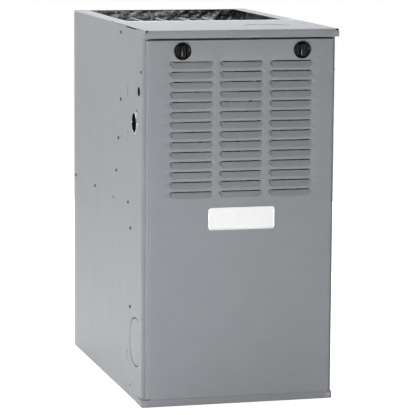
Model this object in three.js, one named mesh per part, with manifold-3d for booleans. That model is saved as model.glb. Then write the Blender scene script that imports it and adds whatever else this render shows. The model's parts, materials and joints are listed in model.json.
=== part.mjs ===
// Forced-air gas furnace for upflow, with a one-piece louvred door held by two quarter-turn knobs.
// Millimetres. +Z is up, the front faces -Y, and +X is to the right of someone facing the front.
// The origin is on the floor under the middle of the casing.
import * as THREE from "three";
import { mergeVertices } from "three/addons/utils/BufferGeometryUtils.js";
import Module from "manifold-3d";

const wasm = await Module();
wasm.setup();

// ---- Casing and sheet metal ----
const casingWidth = 444.5;
const casingDepth = 721;
const casingHeight = 846;
const upperHeight = 408;
const sheet = 1;
const fit = 0.3;
const frontFlange = 26;
const topFlange = 35;
const rearTopFlange = 12;
const bottomFlange = 25;

const beyond = casingHeight + 200;
const sideX = casingWidth / 2;
const frontY = -casingDepth / 2;
const backY = casingDepth / 2;
const deckZ = casingHeight - upperHeight;
const wallX = sideX - sheet;
const innerX = wallX - fit;
const innerBackY = backY - sheet - fit;
const behindFlangeY = frontY + sheet + fit;
const beforeFlangeY = frontY - fit;

// ---- Top plate and base rail ----
const lipOut = 28;
const lipHeight = 18;
const plateRearY = frontY + 268.5;
const plateFlange = 20;
const ventPipe = 101.6;
const ventX = 91;
const ventY = frontY + 90.5;
const plateSlit = { rear: frontY + 156.5, front: frontY + 59.5, height: 2 };
const railOut = 7;
const railHeight = 16.5;
const railEar = 43;
const railWebRear = frontY + 24.5;
const closureFlange = 15;

// ---- Door ----
const doorOut = 22;
const doorLedgeOut = 12.6;
const doorHalf = sideX - 11.5;
const doorLedge = 4.75;
const doorReturn = 10;
const doorBottom = 20;
const doorTop = casingHeight - 22.5;
const tongue = { half: doorHalf - 20.75, drop: 12, gap: 3 };
const louvre = {
  columns: 3,
  rows: 14,
  width: 101.6,
  columnPitch: 114.3,
  rowPitch: 22.225,
  firstSlit: casingHeight - 70.5,
  slit: 2.2,
  drop: 10,
  depth: 4.5,
};
const badge = { x: 1, z: deckZ - 12.5, width: 153, height: 51, thick: 1.6, corner: 6 };
const knob = {
  x: 137.4,
  z: casingHeight - 46.5,
  diameter: 39.2,
  disc: 5,
  wing: 6,
  wingWidth: 9,
  wingHeight: 32,
};
const latch = { shaft: 3.5, length: 30, width: 7, thick: 2.5 };
const doorFaceY = frontY - doorOut;
const doorInnerY = doorFaceY + sheet;

// ---- Header behind the top of the door ----
const header = { bottom: casingHeight - 70, shelf: 21 };

// ---- Holes and knock-outs in the casing sides: [y, z] ----
const gasHole = { at: [frontY + 70, deckZ + 196], diameter: 44.5 };
const wireHole = { at: [frontY + 27.5, deckZ + 269.5], diameter: 22 };
const sideKnockouts = [
  { at: [frontY + 134.5, deckZ + 260], diameter: 22, sides: 8 },
  { at: [frontY + 134.5, deckZ + 158], diameter: 22, sides: 8 },
  { at: [frontY + 134.5, 94], diameter: 22, sides: 8 },
  { at: [frontY + 53.5, 141], diameter: ventPipe, sides: 20 },
];
const groove = { width: 0.8, depth: 0.4 };

// ---- Inner walls ----
const deckFrontY = frontY + 101.5;
const deckFlange = 20;
const accessPanelTop = deckZ - 6;
const cellPanel = {
  topY: frontY + 204.5,
  bendZ: deckZ + 236,
  footY: frontY + 280.5,
  foot: 25,
  strip: 25,
  lip: 8,
};
const linerThick = 6;

// ---- Heat exchanger, burners and gas train ----
const cellCount = 4;
const cellPitch = 60;
const cellsHalf = ((cellCount - 1) / 2) * cellPitch;
const cell = {
  top: casingHeight - 16,
  bottom: deckZ + 82,
  rear: backY - 70.5,
  thick: 30,
  wall: 1.2,
  seam: 1.2,
  corner: 12,
  bend: 52,
};
const portZ = deckZ + 122;
const collectorPortZ = deckZ + 350;
const burner = { length: 135, start: 8, mouth: 17, bell: 16, throat: 9, wall: 1, sides: 10 };
const rack = { plateAt: 60, half: cellsHalf + 38, height: 35, armHeight: 15, foot: 16 };
const manifoldPipe = { radius: 10.65, at: 164, wall: 2.8 };
const valve = {
  x: 74.25 - sideX,
  halfX: 35,
  depth: 65,
  bottom: deckZ + 147,
  height: 90,
  frontY: frontY + 43.5,
};
const valveKnobStem = 4;
const valveKnobAt = [-14, 36];
const resetButton = 2.5;

// ---- Flue-gas collector and inducer ----
const collector = { half: cellsHalf + 30, bottom: deckZ + 252, top: deckZ + 377, depth: 50 };
const inducer = {
  z: deckZ + 290,
  r0: 56,
  r1: 78,
  startDeg: 75,
  depth: 60,
  top: casingHeight - 41,
  wheel: 48,
  shaft: 4,
  wall: 1.5,
};
const inducerMotor = { radius: 39, length: 46, gap: 4 };
const coolingFan = { radius: 34, length: 8, gap: 3 };
const ventCollar = { plate: 116, height: 34 };
const limitPlace = { x: 165, z: 45, probe: 6 };
const pressureSwitchAt = { x: -160, z: deckZ + 332, radius: 32, depth: 24, standoff: 24, nipple: 12 };

// ---- Blower ----
const wheel = { radius: 127, blade: 15, half: 101, blades: 20, rim: 5, discX: 15, hub: 20, shaft: 6.35 };
const blower = {
  y: deckFrontY + 279,
  r0: wheel.radius + 13,
  r1: wheel.radius + 68,
  startDeg: 105,
  half: wheel.half + 19,
  inlet: wheel.radius - 27,
  rail: 14,
};
blower.z = deckZ - blower.r1 - 28;
const blowerMotor = { radius: 70, from: -blower.half - 48, length: 123 };
blowerMotor.to = blowerMotor.from + blowerMotor.length;

// ---- Controls ----
const interlock = { x: sideX - 42.25, z: deckZ + 12, bodyDepth: 26, frontY: frontY + 17.5, radius: 3 };
const controlBox = { x0: 0, x1: 200, z0: deckZ - 188, z1: deckZ - 23, depth: 40 };
const junctionBox = { depth: 45, halfY: 24, halfZ: 25 };

// ---- Screws that show: the head's place on the skin, and the way the screw goes in ----
const screw = { head: 4, headHeight: 2.2, shank: 2, length: 11 };
const railScrew = { x: sideX - 8.25, z: 9 };
const plateScrew = { y: frontY + 7.5, z: casingHeight - 10 };
const screws = [
  { name: "base_rail_screw_left", at: [-railScrew.x, frontY - railOut, railScrew.z], along: "y", inward: 1 },
  { name: "base_rail_screw_right", at: [railScrew.x, frontY - railOut, railScrew.z], along: "y", inward: 1 },
  { name: "top_plate_screw_left", at: [-sideX, plateScrew.y, plateScrew.z], along: "x", inward: 1 },
  { name: "top_plate_screw_right", at: [sideX, plateScrew.y, plateScrew.z], along: "x", inward: -1 },
  { name: "panel_screw_left", at: [-sideX, deckFrontY + 8.5, 29], along: "x", inward: 1 },
];

// ---- Finishes: colour, roughness, metalness ----
const paint = () => finish(0x9a9ea3, 0.45, 0.1);
const galvanised = () => finish(0xb4b8bb, 0.4, 0.8);
const aluminised = () => finish(0x8d9092, 0.45, 0.8);
const foil = () => finish(0x8a8d90, 0.3, 0.9);
const blackPlastic = () => finish(0x0c0c0d, 0.15, 0);
const badgeWhite = () => finish(0xf2f4f3, 0.3, 0);
const castAluminium = () => finish(0xa8abad, 0.5, 0.7);
const motorBlack = () => finish(0x26282a, 0.5, 0.3);
const boardGreen = () => finish(0x1f5b3a, 0.6, 0);
const ceramic = () => finish(0xd9d4c8, 0.7, 0);
const redPlastic = () => finish(0xa32020, 0.4, 0);
const cableGrey = () => finish(0x33363a, 0.7, 0);
const screwZinc = () => finish(0xc9cccd, 0.3, 0.9);

function finish(color, roughness, metalness) {
  return new THREE.MeshStandardMaterial({ color, roughness, metalness });
}

// ---- Making solids ----

/** A closed geometry as a solid that can be joined and cut. Flush faces are rounded to be flush. */
function solid(geometry) {
  const bare = geometry.clone();
  bare.deleteAttribute("normal");
  bare.deleteAttribute("uv");
  const places = bare.attributes.position.array;
  places.forEach((value, i) => {
    places[i] = Math.round(value * 1e4) / 1e4;
  });
  const merged = mergeVertices(bare, 1e-4);
  const corners = merged.index.array;
  const kept = [];
  for (let i = 0; i < corners.length; i += 3) {
    const [a, b, c] = corners.slice(i, i + 3);
    if (a !== b && b !== c && c !== a) kept.push(a, b, c);
  }
  return new wasm.Manifold(
    new wasm.Mesh({
      numProp: 3,
      vertProperties: merged.attributes.position.array,
      triVerts: new Uint32Array(kept),
    }),
  );
}

/** A solid back as flat-shaded geometry. */
function faces(body) {
  const { vertProperties, triVerts } = body.getMesh();
  const geometry = new THREE.BufferGeometry();
  geometry.setAttribute("position", new THREE.BufferAttribute(vertProperties, 3));
  geometry.setIndex(new THREE.BufferAttribute(triVerts, 1));
  const flat = geometry.toNonIndexed();
  flat.computeVertexNormals();
  return flat;
}

/** A solid moved by a matrix. */
function moved(body, matrix) {
  return solid(faces(body).applyMatrix4(matrix));
}

const shift = (x, y, z) => new THREE.Matrix4().makeTranslation(x, y, z);
const vector = (x, y, z) => new THREE.Vector3(x, y, z);
const alongAxis = {
  x: new THREE.Matrix4().makeBasis(vector(0, 1, 0), vector(0, 0, 1), vector(1, 0, 0)),
  y: new THREE.Matrix4().makeBasis(vector(1, 0, 0), vector(0, 0, 1), vector(0, -1, 0)),
  z: new THREE.Matrix4(),
};

/** An outline as a three.js shape. */
function flatShape(outline) {
  return new THREE.Shape(outline.map(([a, b]) => new THREE.Vector2(a, b)));
}

/** An outline carried along an axis. It is in (y, z) for x, in (x, z) for y and in (x, y) for z. */
function prism(axis, outline, from, to) {
  const geometry = new THREE.ExtrudeGeometry(flatShape(outline), {
    depth: to - from,
    bevelEnabled: false,
  });
  geometry.translate(0, 0, axis === "y" ? -to : from);
  return solid(geometry.applyMatrix4(alongAxis[axis]));
}

/** A box between two values on each axis. */
function block([x0, x1], [y0, y1], [z0, z1]) {
  const geometry = new THREE.BoxGeometry(x1 - x0, y1 - y0, z1 - z0);
  return solid(geometry.translate((x0 + x1) / 2, (y0 + y1) / 2, (z0 + z1) / 2));
}

/** The points of an arc about (a, b), in degrees. */
function arc(a, b, radius, fromDeg, toDeg, steps) {
  return Array.from({ length: steps + 1 }, (_, i) => {
    const angle = THREE.MathUtils.degToRad(fromDeg + ((toDeg - fromDeg) * i) / steps);
    return [a + radius * Math.cos(angle), b + radius * Math.sin(angle)];
  });
}

const circle = (a, b, radius, sides) => arc(a, b, radius, 0, 360, sides).slice(1);

/** A round bar along an axis about (a, b). */
function bar(axis, [a, b], radius, from, to, sides = 20) {
  return prism(axis, circle(a, b, radius, sides), from, to);
}

/** A rectangle about (a, b) with round corners. */
function roundedRectangle(a, b, width, height, corner, steps = 3) {
  const x = width / 2 - corner;
  const y = height / 2 - corner;
  return [
    ...arc(a + x, b + y, corner, 0, 90, steps),
    ...arc(a - x, b + y, corner, 90, 180, steps),
    ...arc(a - x, b - y, corner, 180, 270, steps),
    ...arc(a + x, b - y, corner, 270, 360, steps),
  ];
}

/** The outline of a bent sheet: a line of points that gets its thickness on its left. */
function bent(line, thickness) {
  const normals = line.slice(1).map(([a, b], i) => {
    const [da, db] = [a - line[i][0], b - line[i][1]];
    const length = Math.hypot(da, db);
    return [-db / length, da / length];
  });
  const inner = line.map(([a, b], i) => {
    const [na, nb] = normals[Math.max(i - 1, 0)];
    const [ma, mb] = normals[Math.min(i, normals.length - 1)];
    const scale = thickness / (1 + na * ma + nb * mb);
    return [a + (na + ma) * scale, b + (nb + mb) * scale];
  });
  return [...line, ...inner.reverse()];
}

/** A profile of [radius, place] turned about an axis through the origin. */
function turned(axis, profile, sides = 24) {
  const area = profile.reduce((sum, [r, h], i) => {
    const [r2, h2] = profile[(i + 1) % profile.length];
    return sum + r * h2 - r2 * h;
  }, 0);
  const ordered = area > 0 ? profile : [...profile].reverse();
  const closed = [...ordered, ordered[0]].map(([r, h]) => new THREE.Vector2(r, h));
  const geometry = new THREE.LatheGeometry(closed, sides);
  if (axis === "x") geometry.rotateZ(-Math.PI / 2);
  if (axis === "z") geometry.rotateX(Math.PI / 2);
  return solid(geometry);
}

/** A round hose or cable bundle along a smooth route. */
function hose(points, radius, steps, sides = 6) {
  const extrudePath = new THREE.CatmullRomCurve3(points.map((point) => vector(...point)));
  const section = flatShape(circle(0, 0, radius, sides));
  return solid(new THREE.ExtrudeGeometry(section, { steps, extrudePath }));
}

/** Joins any number of solids. */
function joined(...bodies) {
  return bodies.reduce((whole, body) => whole.add(body));
}

/** Cuts any number of solids from the first. */
function cut(body, ...tools) {
  return tools.reduce((rest, tool) => rest.subtract(tool), body);
}

/** The same pair of values on both sides of the middle: the left copy and the right copy. */
const bothSides = (near, far) => [
  [-far, -near],
  [near, far],
];

/** Puts a solid into a group as a named mesh with its own material. */
function add(group, name, body, material) {
  const mesh = new THREE.Mesh(faces(body), material());
  mesh.name = name;
  group.add(mesh);
  return mesh;
}

// ---- Screws ----

/** A pan-head screw at the origin with its head outside, at negative places on its axis. */
function screwAlong(axis, inward) {
  const profile = [
    [0, -screw.headHeight - fit],
    [screw.head * 0.7, -screw.headHeight - fit],
    [screw.head, -screw.headHeight * 0.5 - fit],
    [screw.head, -fit],
    [screw.shank, -fit],
    [screw.shank, screw.length],
    [0, screw.length],
  ];
  return turned(axis, profile.map(([r, h]) => [r, h * inward]), 8);
}

/** Cuts the bores of all the screws that go through a sheet. */
function drilled(body) {
  const reach = screw.length + sheet;
  const bores = screws.map(({ at, along, inward }) => {
    const [x, y, z] = at;
    const centre = along === "x" ? [y, z] : [x, z];
    const start = along === "x" ? x : y;
    const ends = [start - sheet * inward, start + reach * inward];
    return bar(along, centre, screw.shank + fit, Math.min(...ends), Math.max(...ends), 8);
  });
  return cut(body, ...bores);
}

// ---- Casing ----

/** A knock-out: a shallow ring pressed into a sheet's outer face, which is at `face`. */
function knockoutRing(axis, centre, diameter, face, inward, sides) {
  const ends = [face - inward, face + inward * groove.depth];
  const [from, to] = [Math.min(...ends), Math.max(...ends)];
  const outer = bar(axis, centre, diameter / 2 + groove.width / 2, from, to, sides);
  return outer.subtract(bar(axis, centre, diameter / 2 - groove.width / 2, from - 1, to + 1, sides));
}

/** Left side, back and right side bent from one sheet, with flanges all round and the side holes. */
function casingWrapper() {
  const underPlate = casingHeight - sheet - fit;
  const frontGap = [frontFlange - sideX, sideX - frontFlange];
  const topGap = [topFlange - sideX, sideX - topFlange];
  const bottomGap = [bottomFlange - sideX, sideX - bottomFlange];
  const plateGap = [frontY - 1, plateRearY + cellPanel.strip + fit];
  const shell = cut(
    block([-sideX, sideX], [frontY, backY], [0, casingHeight]),
    block([-wallX, wallX], [frontY + sheet, backY - sheet], [sheet, casingHeight - sheet]),
    block(frontGap, [frontY - 1, frontY + 2 * sheet], [-1, beyond]),
    block(topGap, [frontY, backY - rearTopFlange], [casingHeight - 2 * sheet, beyond]),
    block(bottomGap, [frontY, backY - bottomFlange], [-1, 2 * sheet]),
    block([-beyond, beyond], plateGap, [underPlate, beyond]),
    block([-beyond, beyond], [plateSlit.front, plateSlit.rear], [underPlate - plateSlit.height, beyond]),
    bar("x", gasHole.at, gasHole.diameter / 2, -beyond, 0, 24),
    bar("x", wireHole.at, wireHole.diameter / 2, -beyond, 0, 16),
  );
  const rings = sideKnockouts.flatMap(({ at, diameter, sides }) => [
    knockoutRing("x", at, diameter, -sideX, 1, sides),
    knockoutRing("x", at, diameter, sideX, -1, sides),
  ]);
  const rightRings = [gasHole, wireHole].map(({ at, diameter }) =>
    knockoutRing("x", at, diameter, sideX, -1, 12),
  );
  return drilled(cut(shell, ...rings, ...rightRings));
}

/** Front part of the top, with its deep lip over the door and the vent knock-out. */
function topFrontPlate() {
  const lipY = frontY - lipOut;
  const lipZ = casingHeight - lipHeight;
  const top = joined(
    block([-sideX, sideX], [lipY, plateRearY], [casingHeight - sheet, casingHeight]),
    block([-sideX, sideX], [lipY, lipY + sheet], [lipZ, casingHeight]),
    block([-sideX, sideX], [lipY, beforeFlangeY], [lipZ, lipZ + sheet]),
    ...bothSides(wallX, sideX).map((x) => block(x, [lipY, beforeFlangeY], [lipZ, casingHeight])),
    ...bothSides(innerX - sheet, innerX).map((x) =>
      block(x, [behindFlangeY, cellPanel.topY - fit - sheet], [casingHeight - plateFlange, casingHeight]),
    ),
  );
  const notchBottom = casingHeight - sheet - fit - plateSlit.height;
  const slitY = [plateSlit.front, plateSlit.rear];
  const notch = block([-beyond, beyond], slitY, [notchBottom, casingHeight - sheet]);
  const between = [2 * sheet - innerX, innerX - 2 * sheet];
  const inside = block(between, slitY, [0, beyond]);
  const ring = knockoutRing("z", [ventX, ventY], ventPipe, casingHeight, -1, 28);
  return drilled(cut(top, notch.subtract(inside), ring));
}

/** Channel behind the top of the door, with the slots that the latches go through. */
function headerRail() {
  const halfWidth = innerX - sheet - fit;
  const top = casingHeight - sheet - fit;
  const rearY = behindFlangeY + header.shelf;
  const slots = [-knob.x, knob.x].map((x) =>
    block(
      [x - latch.width / 2 - 2 * fit, x + latch.width / 2 + 2 * fit],
      [behindFlangeY - 1, behindFlangeY + 2 * sheet],
      [knob.z - latch.length / 2 - 1, knob.z + latch.length / 2 + 1],
    ),
  );
  return cut(
    joined(
      block([-halfWidth, halfWidth], [behindFlangeY, behindFlangeY + sheet], [header.bottom, top]),
      block([-halfWidth, halfWidth], [behindFlangeY, rearY], [top - sheet, top]),
      block([-halfWidth, halfWidth], [behindFlangeY, rearY], [header.bottom, header.bottom + sheet]),
    ),
    ...slots,
  );
}

/** Base rail: a front lip that the door's tongue drops behind, a web, and an ear round each side. */
function baseRail() {
  const lipY = frontY - railOut;
  const earX = sideX + fit;
  const webX = sideX - bottomFlange - fit;
  const ears = bothSides(earX, earX + sheet).map((x) =>
    block(x, [lipY, lipY + railOut + railEar], [0, railHeight]),
  );
  return drilled(
    joined(
      block([-earX, earX], [lipY, lipY + sheet], [0, railHeight]),
      block([-earX, earX], [lipY, beforeFlangeY], [0, sheet]),
      block([-webX, webX], [lipY, railWebRear], [0, sheet]),
      ...ears,
    ),
  );
}

/** Removable bottom pan: its floor is level with the casing's flanges and its rim lies on them. */
function bottomClosurePanel() {
  const panX = sideX - bottomFlange - fit;
  const panFront = railWebRear + fit;
  const panRear = backY - bottomFlange - fit;
  const rimZ = sheet + fit;
  const rim = block(
    [-panX - closureFlange, panX + closureFlange],
    [panFront - closureFlange, panRear + closureFlange],
    [rimZ, rimZ + sheet],
  );
  const pan = block([-panX, panX], [panFront, panRear], [0, rimZ + sheet]);
  const hollow = block(
    [sheet - panX, panX - sheet],
    [panFront + sheet, panRear - sheet],
    [sheet, 2 * rimZ + sheet],
  );
  return rim.add(pan).subtract(hollow);
}

// ---- Inner walls ----

const deckTop = deckZ + sheet / 2;

/** Direction of the sloping part of the cell panel, as an angle from upright. */
const panelSlope = Math.atan2(cellPanel.footY - cellPanel.topY, cellPanel.bendZ - deckZ);

/** The y of the cell panel's front face at a height. */
function cellPanelY(z) {
  return z >= cellPanel.bendZ
    ? cellPanel.topY
    : cellPanel.topY + (cellPanel.bendZ - z) * Math.tan(panelSlope);
}

/** Places the burner rack's frame: its origin is on the panel, its +y goes into the cells. */
const rackFrame = new THREE.Matrix4()
  .makeTranslation(0, cellPanelY(portZ), portZ)
  .multiply(new THREE.Matrix4().makeRotationX(panelSlope));

const cellXs = Array.from({ length: cellCount }, (_, i) => i * cellPitch - cellsHalf);

/** Wall between burner compartment and heat exchanger, bent at the top, the slope and the foot. */
function cellPanelSheet() {
  const underPlate = casingHeight - 2 * sheet - fit;
  const stripFront = plateRearY + fit;
  const stripRear = plateRearY + cellPanel.strip;
  const footZ = deckTop + fit + sheet;
  const line = [
    [stripRear, casingHeight - cellPanel.lip],
    [stripRear, casingHeight],
    [stripFront, casingHeight],
    [stripFront, underPlate + sheet],
    [cellPanel.topY, underPlate + sheet],
    [cellPanel.topY, cellPanel.bendZ],
    [cellPanelY(footZ), footZ],
    [cellPanelY(footZ) - cellPanel.foot, footZ],
  ];
  const flat = line.slice(0, 6);
  const lower = line.slice(4);
  const upperSheet = prism("x", bent(flat, sheet), -innerX, innerX);
  const lowerSheet = prism("x", bent(lower, sheet), -innerX, innerX);
  const burnerPorts = cellXs.map((x) =>
    moved(bar("y", [x, 0], burner.mouth + 3, -20, 20, 14), rackFrame),
  );
  const { x: limitX, z: limitZ } = limitPlace;
  const limitHole = moved(bar("y", [limitX, limitZ], limitPlace.probe + fit, -20, 20, 12), rackFrame);
  const fluePorts = cellXs.map((x) => bar("y", [x, collectorPortZ], 12, -300, 0, 10));
  const sideTrim = bothSides(innerX - sheet - fit, 2 * innerX).map((x) =>
    block(x, [-beyond, beyond], [casingHeight - 2 * plateFlange, beyond]),
  );
  return cut(upperSheet.add(lowerSheet), ...burnerPorts, ...fluePorts, limitHole, ...sideTrim);
}

/** The blower's outline in (y, z): a spiral about the wheel and a straight outlet upwards. */
function scrollOutline(centreA, centreB, { r0, r1, startDeg }, top, inset) {
  const steps = 20;
  const spiral = Array.from({ length: steps + 1 }, (_, i) => {
    const turn = i / steps;
    const angle = THREE.MathUtils.degToRad(startDeg + (360 - startDeg) * turn);
    const radius = r0 + (r1 - r0) * turn - inset;
    return [centreA + radius * Math.cos(angle), centreB + radius * Math.sin(angle)];
  });
  const cutOff = spiral[0][0] + inset * 0.5;
  return [...spiral, [centreA + r1 - inset, top], [cutOff, top]];
}

const blowerTop = deckZ - sheet / 2 - fit;
const blowerOutline = (inset) =>
  scrollOutline(blower.y, blower.z, blower, blowerTop, inset);

/** The front and rear of the blower's outlet. */
function blowerOutlet(inset) {
  const outline = blowerOutline(inset);
  return [outline.at(-1)[0], outline.at(-2)[0]];
}

/** Shelf over the blower compartment, with the blower's outlet cut in it. */
function blowerDeck() {
  const bottom = deckTop - deckFlange;
  const tray = block([-innerX, innerX], [deckFrontY, innerBackY], [bottom, deckTop]);
  const hollow = block(
    [sheet - innerX, innerX - sheet],
    [deckFrontY + sheet, innerBackY - sheet],
    [bottom - 1, deckTop - sheet],
  );
  const outletX = [sheet - blower.half, blower.half - sheet];
  const outlet = block(outletX, blowerOutlet(sheet), [bottom, deckTop + 1]);
  return cut(tray, hollow, outlet);
}

/** Front wall of the blower compartment, with a flange back along each side of the casing. */
function blowerAccessPanel() {
  const frontFace = deckFrontY - fit - sheet;
  const bottom = 2 * sheet + 2 * fit;
  const flangeTop = deckTop - deckFlange - fit;
  return drilled(
    joined(
      block([-innerX, innerX], [frontFace, frontFace + sheet], [bottom, accessPanelTop]),
      ...bothSides(innerX - sheet, innerX).map((x) =>
        block(x, [frontFace, frontFace + deckFlange], [bottom, flangeTop]),
      ),
    ),
  );
}

/** Foil-faced insulation round the heat exchanger: both sides and the back. */
function linerBlanket() {
  const z0 = deckTop + fit;
  const z1 = casingHeight - sheet - fit;
  const clear = sheet + 2;
  const stripRear = plateRearY + cellPanel.strip + fit;
  const outline = [
    [cellPanelY(z0) + clear, z0],
    [innerBackY, z0],
    [innerBackY, z1],
    [stripRear, z1],
    [stripRear, z1 - cellPanel.lip - clear],
    [cellPanel.topY + clear, z1 - cellPanel.lip - clear],
    [cellPanel.topY + clear, cellPanel.bendZ],
  ];
  return joined(
    prism("x", outline, -innerX, linerThick - innerX),
    prism("x", outline, innerX - linerThick, innerX),
    block([-innerX, innerX], [innerBackY - linerThick, innerBackY], [z0, z1]),
  );
}

// ---- Heat exchanger cells ----

/** The hot-gas passes of one cell: [front y, rear y, middle z, height], from burner to collector. */
const passRear = cell.rear - 45;
const firstPassZ = portZ + 15;
const passes = [
  [cellPanelY(firstPassZ) + 2, passRear, firstPassZ, 66],
  [cellPanel.topY + 61, passRear, firstPassZ + 83, 48],
  [cellPanel.topY + 38, passRear, firstPassZ + 151, 40],
  [cellPanel.topY + 2, passRear, collectorPortZ, 34],
];

/** One pressed pass, or a bend between two passes, with round corners, about x = 0. */
function pillow(y0, y1, z0, z1, thick) {
  const outline = roundedRectangle((y0 + y1) / 2, (z0 + z1) / 2, y1 - y0, z1 - z0, cell.corner, 2);
  return prism("x", outline, -thick / 2, thick / 2);
}

/** All passes and the bends that join them, shrunk by an inset. */
function passSolid(inset) {
  const thick = cell.thick - 2 * inset;
  const bends = passes.slice(1).map(([front, rear, z], i) => {
    const below = passes[i][2];
    const atRear = i % 2 === 0;
    const y0 = atRear ? rear - cell.bend : Math.max(front, passes[i][0]);
    return pillow(y0 + inset, y0 + cell.bend - inset, below, z, thick);
  });
  const runs = passes.map(([y0, y1, z, height]) =>
    pillow(y0 + inset, y1 - inset, z - height / 2 + inset, z + height / 2 - inset, thick),
  );
  return joined(...runs, ...bends);
}

/** One clamshell cell: a seam plate round hollow pressed passes, open at burner and collector. */
function heatExchangerCell() {
  const clear = sheet + 1;
  const seam = prism(
    "x",
    [
      [cellPanelY(cell.bottom) + clear, cell.bottom],
      [cell.rear, cell.bottom],
      [cell.rear, cell.top],
      [cellPanel.topY + clear + 70, cell.top],
      [cellPanel.topY + clear, cell.top - 12],
      [cellPanel.topY + clear, cellPanel.bendZ],
    ],
    -cell.seam / 2,
    cell.seam / 2,
  );
  const burnerPort = moved(bar("y", [0, 0], 13, 1, 60, 10), rackFrame);
  const fluePort = bar("y", [0, collectorPortZ], 9, cellPanel.topY, cellPanel.topY + 60, 8);
  const trim = moved(block([-50, 50], [-80, sheet + fit], [-120, 120]), rackFrame);
  return cut(seam.add(passSolid(0)), passSolid(cell.wall), burnerPort, fluePort, trim);
}

// ---- Burner rack: these are in the rack's tilted frame ----

/** A burner's outside as [radius, y]: the bell, the throat, the seat in the plate and the head. */
const burnerFront = -burner.start - burner.length;
const burnerSeat = burner.throat + 5;
const burnerOutside = [
  [burner.bell, burnerFront],
  [burner.throat, burnerFront + 28],
  [burner.throat, burnerFront + 52],
  [burnerSeat, -rack.plateAt - 6],
  [burnerSeat, sheet - rack.plateAt + 4],
  [burner.mouth, -burner.start],
];

/** One in-shot burner: a bell, a throat and a flared head, open from end to end. */
function burnerTube() {
  const inside = burnerOutside.map(([r, y]) => [r - burner.wall, y]).reverse();
  return turned("y", [...burnerOutside, ...inside], burner.sides);
}

/** Bracket that carries the burners and the gas manifold: a cross plate between two side arms. */
function burnerRack() {
  const reach = manifoldPipe.at + 16;
  const plate = block(
    [-rack.half, rack.half],
    [-rack.plateAt, sheet - rack.plateAt],
    [-rack.height, rack.height],
  );
  const seat = [
    [0, -2 * rack.plateAt],
    [burnerSeat + fit, -2 * rack.plateAt],
    [burnerSeat + fit, 0],
    [0, 0],
  ];
  const holes = cellXs.map((x) => moved(turned("y", seat, burner.sides), shift(x, 0, 0)));
  const arms = bothSides(rack.half, rack.half + sheet).map((x) =>
    block(x, [-reach, -fit], [-rack.armHeight, rack.armHeight]),
  );
  const feet = bothSides(rack.half, rack.half + rack.foot).map((x) =>
    block(x, [-fit - sheet, -fit], [-rack.armHeight, rack.armHeight]),
  );
  const pipeHole = bar("x", [-manifoldPipe.at, 0], manifoldPipe.radius + fit, -beyond, 0);
  return cut(joined(plate.subtract(joined(...holes)), ...arms, ...feet), pipeHole);
}

/** A snap-disc switch with a mounting ear, its back at y = 0 and its stem hole in front. */
function discSwitch() {
  return cut(
    joined(
      bar("y", [0, 0], 9.5, -10, 0, 16),
      block([-15, 15], [-1, 0], [-5, 5]),
      block([-8, -5], [-18, -10], [-3, 3]),
      block([5, 8], [-18, -10], [-3, 3]),
    ),
    bar("y", [0, 0], resetButton + fit, -11, -5, 12),
  );
}

/** Hot-surface igniter: a ceramic block on the cross plate and a thin blade to the burner. */
function igniter() {
  return joined(
    block([-9, 9], [-rack.plateAt - 14, -rack.plateAt - fit], [-6, 6]),
    block(
      [-igniterBlade.half, igniterBlade.half],
      [-rack.plateAt - fit, -burner.start - 4],
      [-igniterBlade.thick, igniterBlade.thick],
    ),
  );
}

/** Flame sensor: a ceramic sleeve on the cross plate and a thin rod to the burner. */
function flameSensor() {
  return joined(
    bar("y", [0, 0], 5, -rack.plateAt - 16, -rack.plateAt - fit, 12),
    bar("y", [0, 0], sensorRod.radius, -rack.plateAt - fit, -burner.start - 4, 8),
  );
}

const igniterBlade = { x: cellPitch, z: 26, half: 3, thick: 1.5 };
const sensorRod = { x: -cellPitch, z: 26, radius: 1.6 };

/** Holes in the cross plate for the igniter's blade and the sensor's rod. */
function rackCutouts() {
  const { x, z, half, thick } = igniterBlade;
  const room = 3 * fit;
  return joined(
    block(
      [x - half - room, x + half + room],
      [-2 * rack.plateAt, 0],
      [z - thick - room, z + thick + room],
    ),
    bar("y", [sensorRod.x, sensorRod.z], sensorRod.radius + room, -2 * rack.plateAt, 0, 8),
  );
}

// ---- Gas train ----

/** Gas manifold: a pipe along the burners with an orifice for each, and a riser to the valve. */
function gasManifold() {
  const centre = vector(0, -manifoldPipe.at, 0).applyMatrix4(rackFrame);
  const [y, z] = [centre.y, centre.z];
  const { radius, wall } = manifoldPipe;
  const end = rack.half - fit;
  const riserTop = valve.bottom - fit;
  const outer = joined(
    bar("x", [y, z], radius, valve.x, end, 12),
    bar("z", [valve.x, y], radius, z - radius, riserTop, 12),
    ...cellXs.map((x) =>
      moved(turned("y", [[0, 0], [6, 0], [6, 12], [3, 18], [0, 18]], 8), rackFrame
        .clone()
        .multiply(shift(x, -manifoldPipe.at, 0))),
    ),
  );
  const bore = joined(
    bar("x", [y, z], radius - wall, valve.x, end - 4, 8),
    bar("z", [valve.x, y], radius - wall, z, riserTop + 1, 8),
  );
  return outer.subtract(bore);
}

/** Gas valve: a cast body with an inlet at the casing's gas hole and an outlet over the riser. */
function gasValve() {
  const { x, halfX, depth, bottom, height } = valve;
  const rear = valve.frontY + depth;
  const [holeY, holeZ] = gasHole.at;
  const knobCentre = [x + valveKnobAt[0], bottom + valveKnobAt[1]];
  const body = joined(
    block([x - halfX, x + halfX], [valve.frontY, rear], [bottom + 12, bottom + height]),
    bar("z", [x, manifoldY()], 17, bottom, bottom + 20, 16),
    bar("x", [holeY, holeZ], 18, x - halfX - 16, x, 16),
    bar("y", [x + 8, bottom + 68], 13, valve.frontY - 8, rear, 16),
  );
  return cut(
    body,
    bar("x", [holeY, holeZ], 11, x - halfX - 20, x - 5, 16),
    bar("z", [x, manifoldY()], 8, bottom - 1, holeZ, 12),
    bar("y", knobCentre, valveKnobStem + fit, valve.frontY - 1, valve.frontY + 10, 12),
  );
}

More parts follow.
